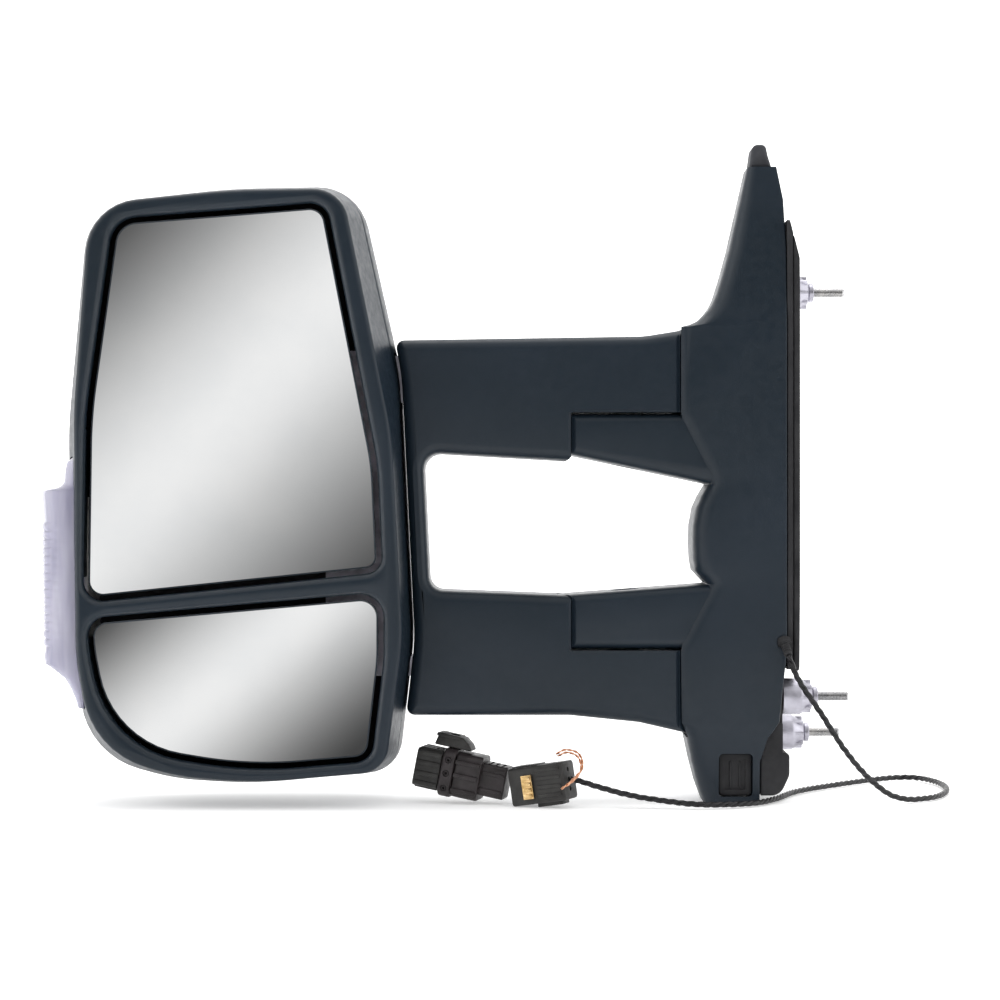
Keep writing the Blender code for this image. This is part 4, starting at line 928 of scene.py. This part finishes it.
def seal_pad():
    pad = pressed("seal_pad", SEAL_OUTLINE, "x", -3.7, 0, 1.2, 8, 3)
    rib = pressed("seal_rib_outer", inset(SEAL_OUTLINE, 5.0), "x", -0.9, 2, 0, 8)
    cut(rib, pressed("seal_rib_inner", inset(SEAL_OUTLINE, 8.0), "x", -3, 4, 0, 8))
    cut(pad, rib)
    cut(pad, pressed("pad_slant", SEAL_SLANT, "y", -40, 120))
    stud_ways(pad)
    cut(pad, grommet_hole())
    return fit(pad, RUBBER, "base", "rubber", "door_gasket", smooth=40)


def foot_block():
    """Rounded block that closes the cover's lower end, with a skirt in front of the cast plate."""
    profile = [(-24.6, -159.6, 1), (-6, -159.6, 3), (-6, -174, 10), (-12, -186.8, 9), (-24.6, -186.8, 1)]
    piece = pressed("foot_block", profile, "y", -24, 60, 1.5, 8, 4)
    join(piece, block("foot_skirt", (-24.6, -24, -162), (-10.3, -20.5, -141), 0.6, 2))
    stud_ways(piece)
    return fit(piece, STRUCTURE, "base", "structure", "foot_lobe", smooth=40)


def top_tab():
    z = 211.3
    outline = [(-30.5, z, 0.5), (-16, z, 0.5), (-18.5, z + 8, 10), (-20, z + 15, 3.2), (-28.5, z + 15, 4.2)]
    piece = pressed("top_tab", outline, "y", -11, 13, 2.2, 8, 5)
    return fit(piece, TAB_RUBBER, "base", "rubber", "top_seal_tab", smooth=40)


def recess_plug():
    corners = [(-50.7, -187.2, 2.6), (-29.8, -187.2, 2.6), (-29.8, -160.3, 2.6), (-50.7, -160.3, 2.6)]
    piece = pressed("recess_plug", corners, "y", -21, -17, 1.0, 6, 4)
    cut(piece, pressed("plug_dish", inset(corners, 4.0), "y", -23, -19.6, 0, 6))
    for side in (-1, 1):
        x = -40.2 + 3 * side
        join(piece, block("finger_rib", (x - 0.6, -20.6, -182), (x + 0.6, -19, -165.5), 0.3))
    return fit(piece, STRUCTURE, "base", "structure", "access_plug", smooth=40)


def grommet():
    long = (Vector(ROUTE[0]) - GROMMET_AT).length - 0.9
    profile = [(0, long), (2.3, long), (2.6, long - 0.5)]
    for ring in range(4):
        at = long - 1.6 - ring * 1.9
        profile += [(2.7 + ring * 0.1, at), (2.25 + ring * 0.1, at - 0.4), (2.25 + ring * 0.1, at - 1.0),
                    (2.8 + ring * 0.1, at - 1.4)]
    profile += [(3.2, 4.0), (4.0, 4.0), (4.2, 3.7), (4.2, 0.2), (4.0, 0), (0, 0)]
    piece = turned("ringed_grommet", "z", GROMMET_AT, profile, 32, way=GROMMET_WAY)
    return fit(piece, RUBBER, "base", "rubber", "cable_grommet", smooth=35)


def stud_sleeve(name, y, z):
    """A cast sleeve: a cone with gussets, narrowing outwards to a small face collar."""
    profile = [(3.3, 13), (5.5, 13), (6, 12.5), (6, 10.4), (5.4, 9.9), (7.0, 9.5), (8.0, 8.7), (11.0, 2.6),
               (11.5, 1.6), (11.5, -9.2), (11, -9.7), (3.3, -9.7)]
    piece = turned(f"{name}_sleeve", "x", (0, y, z), profile, 48)
    for i in range(8):
        gusset = block("gusset", (0.5, -0.9, 4.0), (8.8, 0.9, 10.4), 0.35, 2)
        lay(gusset, (0, y, z), Matrix.Rotation(math.pi / 4 * i, 4, "X"))
        join(piece, gusset)
    return fit(piece, ALLOY, "base", "alloy", f"{name}_stud_sleeve", smooth=35)


def threaded_stud(name, y, z):
    """A stud with a rolled thread along the part that stands out, and a chamfered end."""
    profile = [(0, 33), (2.0, 33), (2.6, 32.3)]
    for i in range(22):
        at = 31.8 - i * 0.9
        profile += [(3.0, at), (3.0, at - 0.15), (2.5, at - 0.45), (2.5, at - 0.6)]
    profile += [(3.0, 11.5), (3.0, -9.7), (0, -9.7)]
    piece = turned(f"{name}_threaded_stud", "x", (0, y, z), profile, 32)
    return fit(piece, STEEL, "base", "steel", f"{name}_stud", smooth=25)


base_shell()
backplate()
seal_pad()
foot_block()
top_tab()
recess_plug()
grommet()
for stud, (stud_y, stud_z) in STUDS.items():
    stud_sleeve(stud, stud_y, stud_z)
    threaded_stud(stud, stud_y, stud_z)

# ------------------------------------------------------------------ plugs


def plug_corners(y, low, high, radius):
    return [(-y, low, radius), (y, low, radius), (y, high, radius), (-y, high, radius)]


def main_plug():
    """The larger connector: ribbed shroud, oval collar, body with a stepped tail, and its latch tier."""
    shroud = pressed("plug_shroud", plug_corners(11.2, -12.2, 12.2, 3), "x", -31, -14.2, 0.8, 4, 3)
    for z in (-9.6, -3.4, 3.4, 9.6):
        join(shroud, block("shroud_rib", (-30.4, -12, z - 1.5), (-14.6, 12, z + 1.5), 0.5, 2))
    for y in (-6.5, 0, 6.5):
        join(shroud, block("shroud_rail", (-29.6, y - 1.8, -13), (-14.6, y + 1.8, 13), 0.5, 2))
    cut(shroud, pressed("shroud_mouth", plug_corners(9.5, -10.5, 10.5, 2.5), "x", -35, -16, steps=4))
    lay(shroud, PLUG_AT, PLUG_TURN)
    fit(shroud, PLUG_GREY, "base", "connector", "main_plug_shroud", smooth=35)

    body = pressed("plug_body", plug_corners(12.6, -14.2, 14.2, 5), "x", -5, 12, 1.2, 5, 3)
    collar = pressed("plug_collar", plug_corners(14, -15.5, 15.5, 8), "x", -13.7, -5.5, 1.4, 8, 4)
    join(body, collar)
    join(body, pressed("plug_step", plug_corners(9, -10, 11, 3), "x", 10, 28, 0.9, 4, 3))
    for z in (-9.5, 0.0, 8.5):
        join(body, block("body_rail", (-5, -13.9, z - 1.4), (11, -11, z + 1.4), 0.5, 2))
        cut(body, turned("pin_hole", "y", (-9.6, -14, z), [(0, 3), (2.1, 3), (2.1, -2), (0, -2)], 20))
        join(body, turned("pin_ring", "y", (-9.6, -12.6, z),
                          [(1.0, 1.5), (1.6, 1.5), (1.6, -0.9), (1.0, -0.9)], 20))
    for z in (-5.5, 5.0):
        join(body, block("step_rail", (12, -9.8, z - 1.0), (27, -8, z + 1.0), 0.4, 2))
    for x in (16, 20, 24):
        cut(body, block("top_groove", (x - 0.8, -7, 10.2), (x + 0.8, 7, 12), 0))
    lay(body, PLUG_AT, PLUG_TURN)
    fit(body, PLUG_BROWN, "base", "connector", "main_plug_body", smooth=35)

    outline = [(-22, 15.8, 0.8), (3, 15.8, 0.8), (0.5, 19.5, 1.5), (-4, 23, 1.5), (-20, 24, 2)]
    latch = pressed("latch_tier", outline, "y", -7, 7, 0.8, 5, 3)
    join(latch, block("latch_lip", (-21.4, -7.6, 21.6), (-6, 7.6, 23.6), 0.5, 2))
    cut(latch, block("latch_slot", (-14, -3.2, 20.5), (-8, 3.2, 26), 0))
    lay(latch, PLUG_AT, PLUG_TURN)
    fit(latch, PLUG_GREY, "base", "connector", "main_plug_latch", smooth=35)


def second_plug():
    """The smaller connector at the cable's end, with a skirt, side rails and brass contacts on one side."""
    body = pressed("end_plug", plug_corners(11.2, -12.6, 11.2, 2.5), "x", -36.9, -0.9, 0.9, 5, 3)
    join(body, block("end_skirt", (-22, -6, -15), (-5, 6, -11.5), 0.6, 2))
    join(body, block("end_cap", (-35, -8, 10.2), (-18, 8, 12), 0.5, 2))
    for z in (-8, -2.6, 2.8, 8):
        join(body, block("end_rail", (-18.6, -12, z - 1.1), (-2.6, -10.4, z + 1.1), 0.4, 2))
    for z in (-6, 0, 6):
        cut(body, turned("wire_entry", "x", (0, 0, z), [(0, 3), (1.6, 3), (1.6, -6), (0, -6)], 20))
    lay(body, END_AT, END_TURN)
    fit(body, PLUG_GREY, "base", "connector", "second_plug_body", smooth=35)

    row = block("terminal_carrier", (-27.9, -13.4, -9), (-20.9, -12.3, 6), 0.3, 2)
    for z in (-6.9, -3.2, 0.4, 4.0):
        join(row, block("terminal", (-27.2, -14.6, z - 1.2), (-21.6, -13.2, z + 1.2), 0.35, 2))
    lay(row, END_AT, END_TURN)
    fit(row, BRASS, "base", "brass", "second_plug_terminals", smooth=35)
    return body, row


def pigtail():
    """Loose wires that loop beside the smaller plug: two bare twisted pairs."""
    loops = [
        ([(-9, 2, 15), (-3, -1, 18), (5, -6, 16), (7, -13, 8), (0, -16, 0), (-6, -15, -5)], 1.0),
        ([(-8, 0, 14), (-2, -3, 16.5), (4.6, -8, 14), (6, -13.5, 6), (0, -15, -1), (-5, -14.6, -4)], 1.0),
    ]
    wires = []
    for i, (offsets, thick) in enumerate(loops):
        route, _ = smooth_route([END_AT + Vector(offset) for offset in offsets], 1.0)
        wires += twisted(route, 2, 8, 0.4, thick * 0.8)
    piece = bundled(wires, "bare_wires")
    return fit(piece, COPPER, "base", "brass", "wire_pigtail", smooth=60)


main_plug()
END_PIECES = [*second_plug(), pigtail()]

# ------------------------------------------------------------------ carried-over nodes
bpy.data.objects.remove(LENS_SEAT)
bpy.data.objects.remove(UPPER_WAY)
bpy.data.objects.remove(LOWER_WAY)
for subpart in frame["record"]["subparts"]:
    for slot in frame["nodes"][subpart["node"]].material_slots:
        slot.material = SLOT_FINISH[subpart["material_slot"]]

# ------------------------------------------------------------------ studio


def studio_floor():
    """A pale floor that curves up into a wall far behind."""
    bpy.ops.object.select_all(action="DESELECT")
    bpy.ops.mesh.primitive_plane_add(size=14, location=(0, 0, FLOOR_Z * MM - 0.0002))
    sweep = added("pale_sweep")
    edit(sweep)
    bpy.ops.mesh.select_mode(type="EDGE")
    bpy.ops.mesh.select_all(action="DESELECT")
    shape = bmesh.from_edit_mesh(sweep.data)
    for edge in shape.edges:
        edge.select_set(min(vert.co.y for vert in edge.verts) > 6.9)
    bmesh.update_edit_mesh(sweep.data)
    bpy.ops.mesh.extrude_region_move(TRANSFORM_OT_translate={"value": (0, 0, 7)})
    bpy.ops.mesh.select_all(action="DESELECT")
    shape = bmesh.from_edit_mesh(sweep.data)
    for edge in shape.edges:
        edge.select_set(all(vert.co.y > 6.9 and vert.co.z < 1 for vert in edge.verts))
    bmesh.update_edit_mesh(sweep.data)
    bpy.ops.mesh.bevel(offset=2.5, segments=16, affect="EDGES")
    bpy.ops.mesh.select_mode(type="VERT")
    leave_edit(outward=False)
    select_only(sweep)
    bpy.ops.object.transform_apply(location=True, rotation=True, scale=True)
    bpy.ops.object.shade_smooth_by_angle(angle=math.radians(60))
    paper = finish("studio_paper", (0.93, 0.93, 0.93), 0.9, specular=0.1)
    shader_of(paper).inputs["Emission Color"].default_value = (1, 1, 1, 1)
    shader_of(paper).inputs["Emission Strength"].default_value = 0.35
    sweep.data.materials.append(paper)


def mirror_card():
    """What the glasses look out on: a card whose brightness runs in a slanting band."""
    bpy.ops.object.select_all(action="DESELECT")
    bpy.ops.mesh.primitive_plane_add(size=1, location=(-0.55, -2.25, 0.12), rotation=(math.pi / 2, 0, 0))
    card = added("band_card")
    card.scale = (1.5, 1.2, 1.0)
    bpy.ops.object.transform_apply(location=True, rotation=True, scale=True)
    made = bpy.data.materials.new("band_of_light")
    made.use_nodes = True
    made.node_tree.nodes.clear()
    place = node(made, "ShaderNodeTexCoord")
    split = node(made, "ShaderNodeSeparateXYZ")
    across = node(made, "ShaderNodeMath", operation="SUBTRACT")
    ramp = node(made, "ShaderNodeValToRGB")
    glow = node(made, "ShaderNodeEmission")
    out = node(made, "ShaderNodeOutputMaterial")
    link(made, place.outputs["Object"], split.inputs["Vector"])
    link(made, split.outputs["X"], across.inputs[0])
    link(made, split.outputs["Z"], across.inputs[1])
    link(made, spread(made, across.outputs["Value"], 0.0, 1.0, -1.192, -0.228), ramp.inputs["Fac"])
    ramp.color_ramp.interpolation = "B_SPLINE"
    stops = [(0.0, 0.03), (0.12, 0.12), (0.27, 0.50), (0.42, 0.88),
             (0.55, 0.93), (0.68, 0.62), (0.84, 0.22), (1.0, 0.03)]
    for i, (at, level) in enumerate(stops):
        stop = ramp.color_ramp.elements[i] if i < 2 else ramp.color_ramp.elements.new(at)
        stop.position = at
        stop.color = (level, level, level, 1)
    link(made, ramp.outputs["Color"], glow.inputs["Color"])
    link(made, glow.outputs["Emission"], out.inputs["Surface"])
    card.data.materials.append(made)
    card.visible_camera = False
    card.visible_diffuse = False
    card.visible_shadow = False


def front_flag():
    """A dark screen in front of the mirror, out of the camera's sight, which keeps its near faces dark."""
    bpy.ops.object.select_all(action="DESELECT")
    bpy.ops.mesh.primitive_plane_add(size=1, location=(-0.19, -2.7, 0.3), rotation=(math.pi / 2, 0, 0))
    flag = added("dark_flag")
    flag.scale = (3.4, 2.6, 1.0)
    bpy.ops.object.transform_apply(location=True, rotation=True, scale=True)
    flag.data.materials.append(finish("black_felt", (0.02, 0.02, 0.02), 1.0, specular=0.0))
    flag.visible_camera = False
    flag.visible_shadow = False


def softbox(name, at, size, power, aim=(-0.2, 0.0, 0.0)):
    light = bpy.data.lights.new(name, "AREA")
    light.shape = "RECTANGLE"
    light.size, light.size_y = size
    light.energy = power
    made = bpy.data.objects.new(name, light)
    bpy.context.scene.collection.objects.link(made)
    made.location = at
    made.rotation_euler = (Vector(aim) - Vector(at)).to_track_quat("-Z", "Y").to_euler()


def lighting():
    world = bpy.data.worlds.new("white_tent")
    world.use_nodes = True
    sky = world.node_tree.nodes["Background"]
    sky.inputs["Color"].default_value = (1.0, 1.0, 1.0, 1)
    sky.inputs["Strength"].default_value = 1.0
    bpy.context.scene.world = world
    softbox("overhead", (-0.2, 0.5, 2.2), (2.4, 1.6), 26)
    softbox("left_wall", (-2.2, -0.3, 0.6), (1.2, 1.8), 10)
    softbox("right_wall", (1.9, -0.4, 0.6), (1.2, 1.8), 8)
    softbox("backdrop_wash", (-0.2, 2.6, 2.4), (4.0, 1.6), 160, (-0.2, 6.8, 1.2))
    bpy.context.scene.view_settings.view_transform = "Standard"


studio_floor()
mirror_card()
front_flag()
lighting()
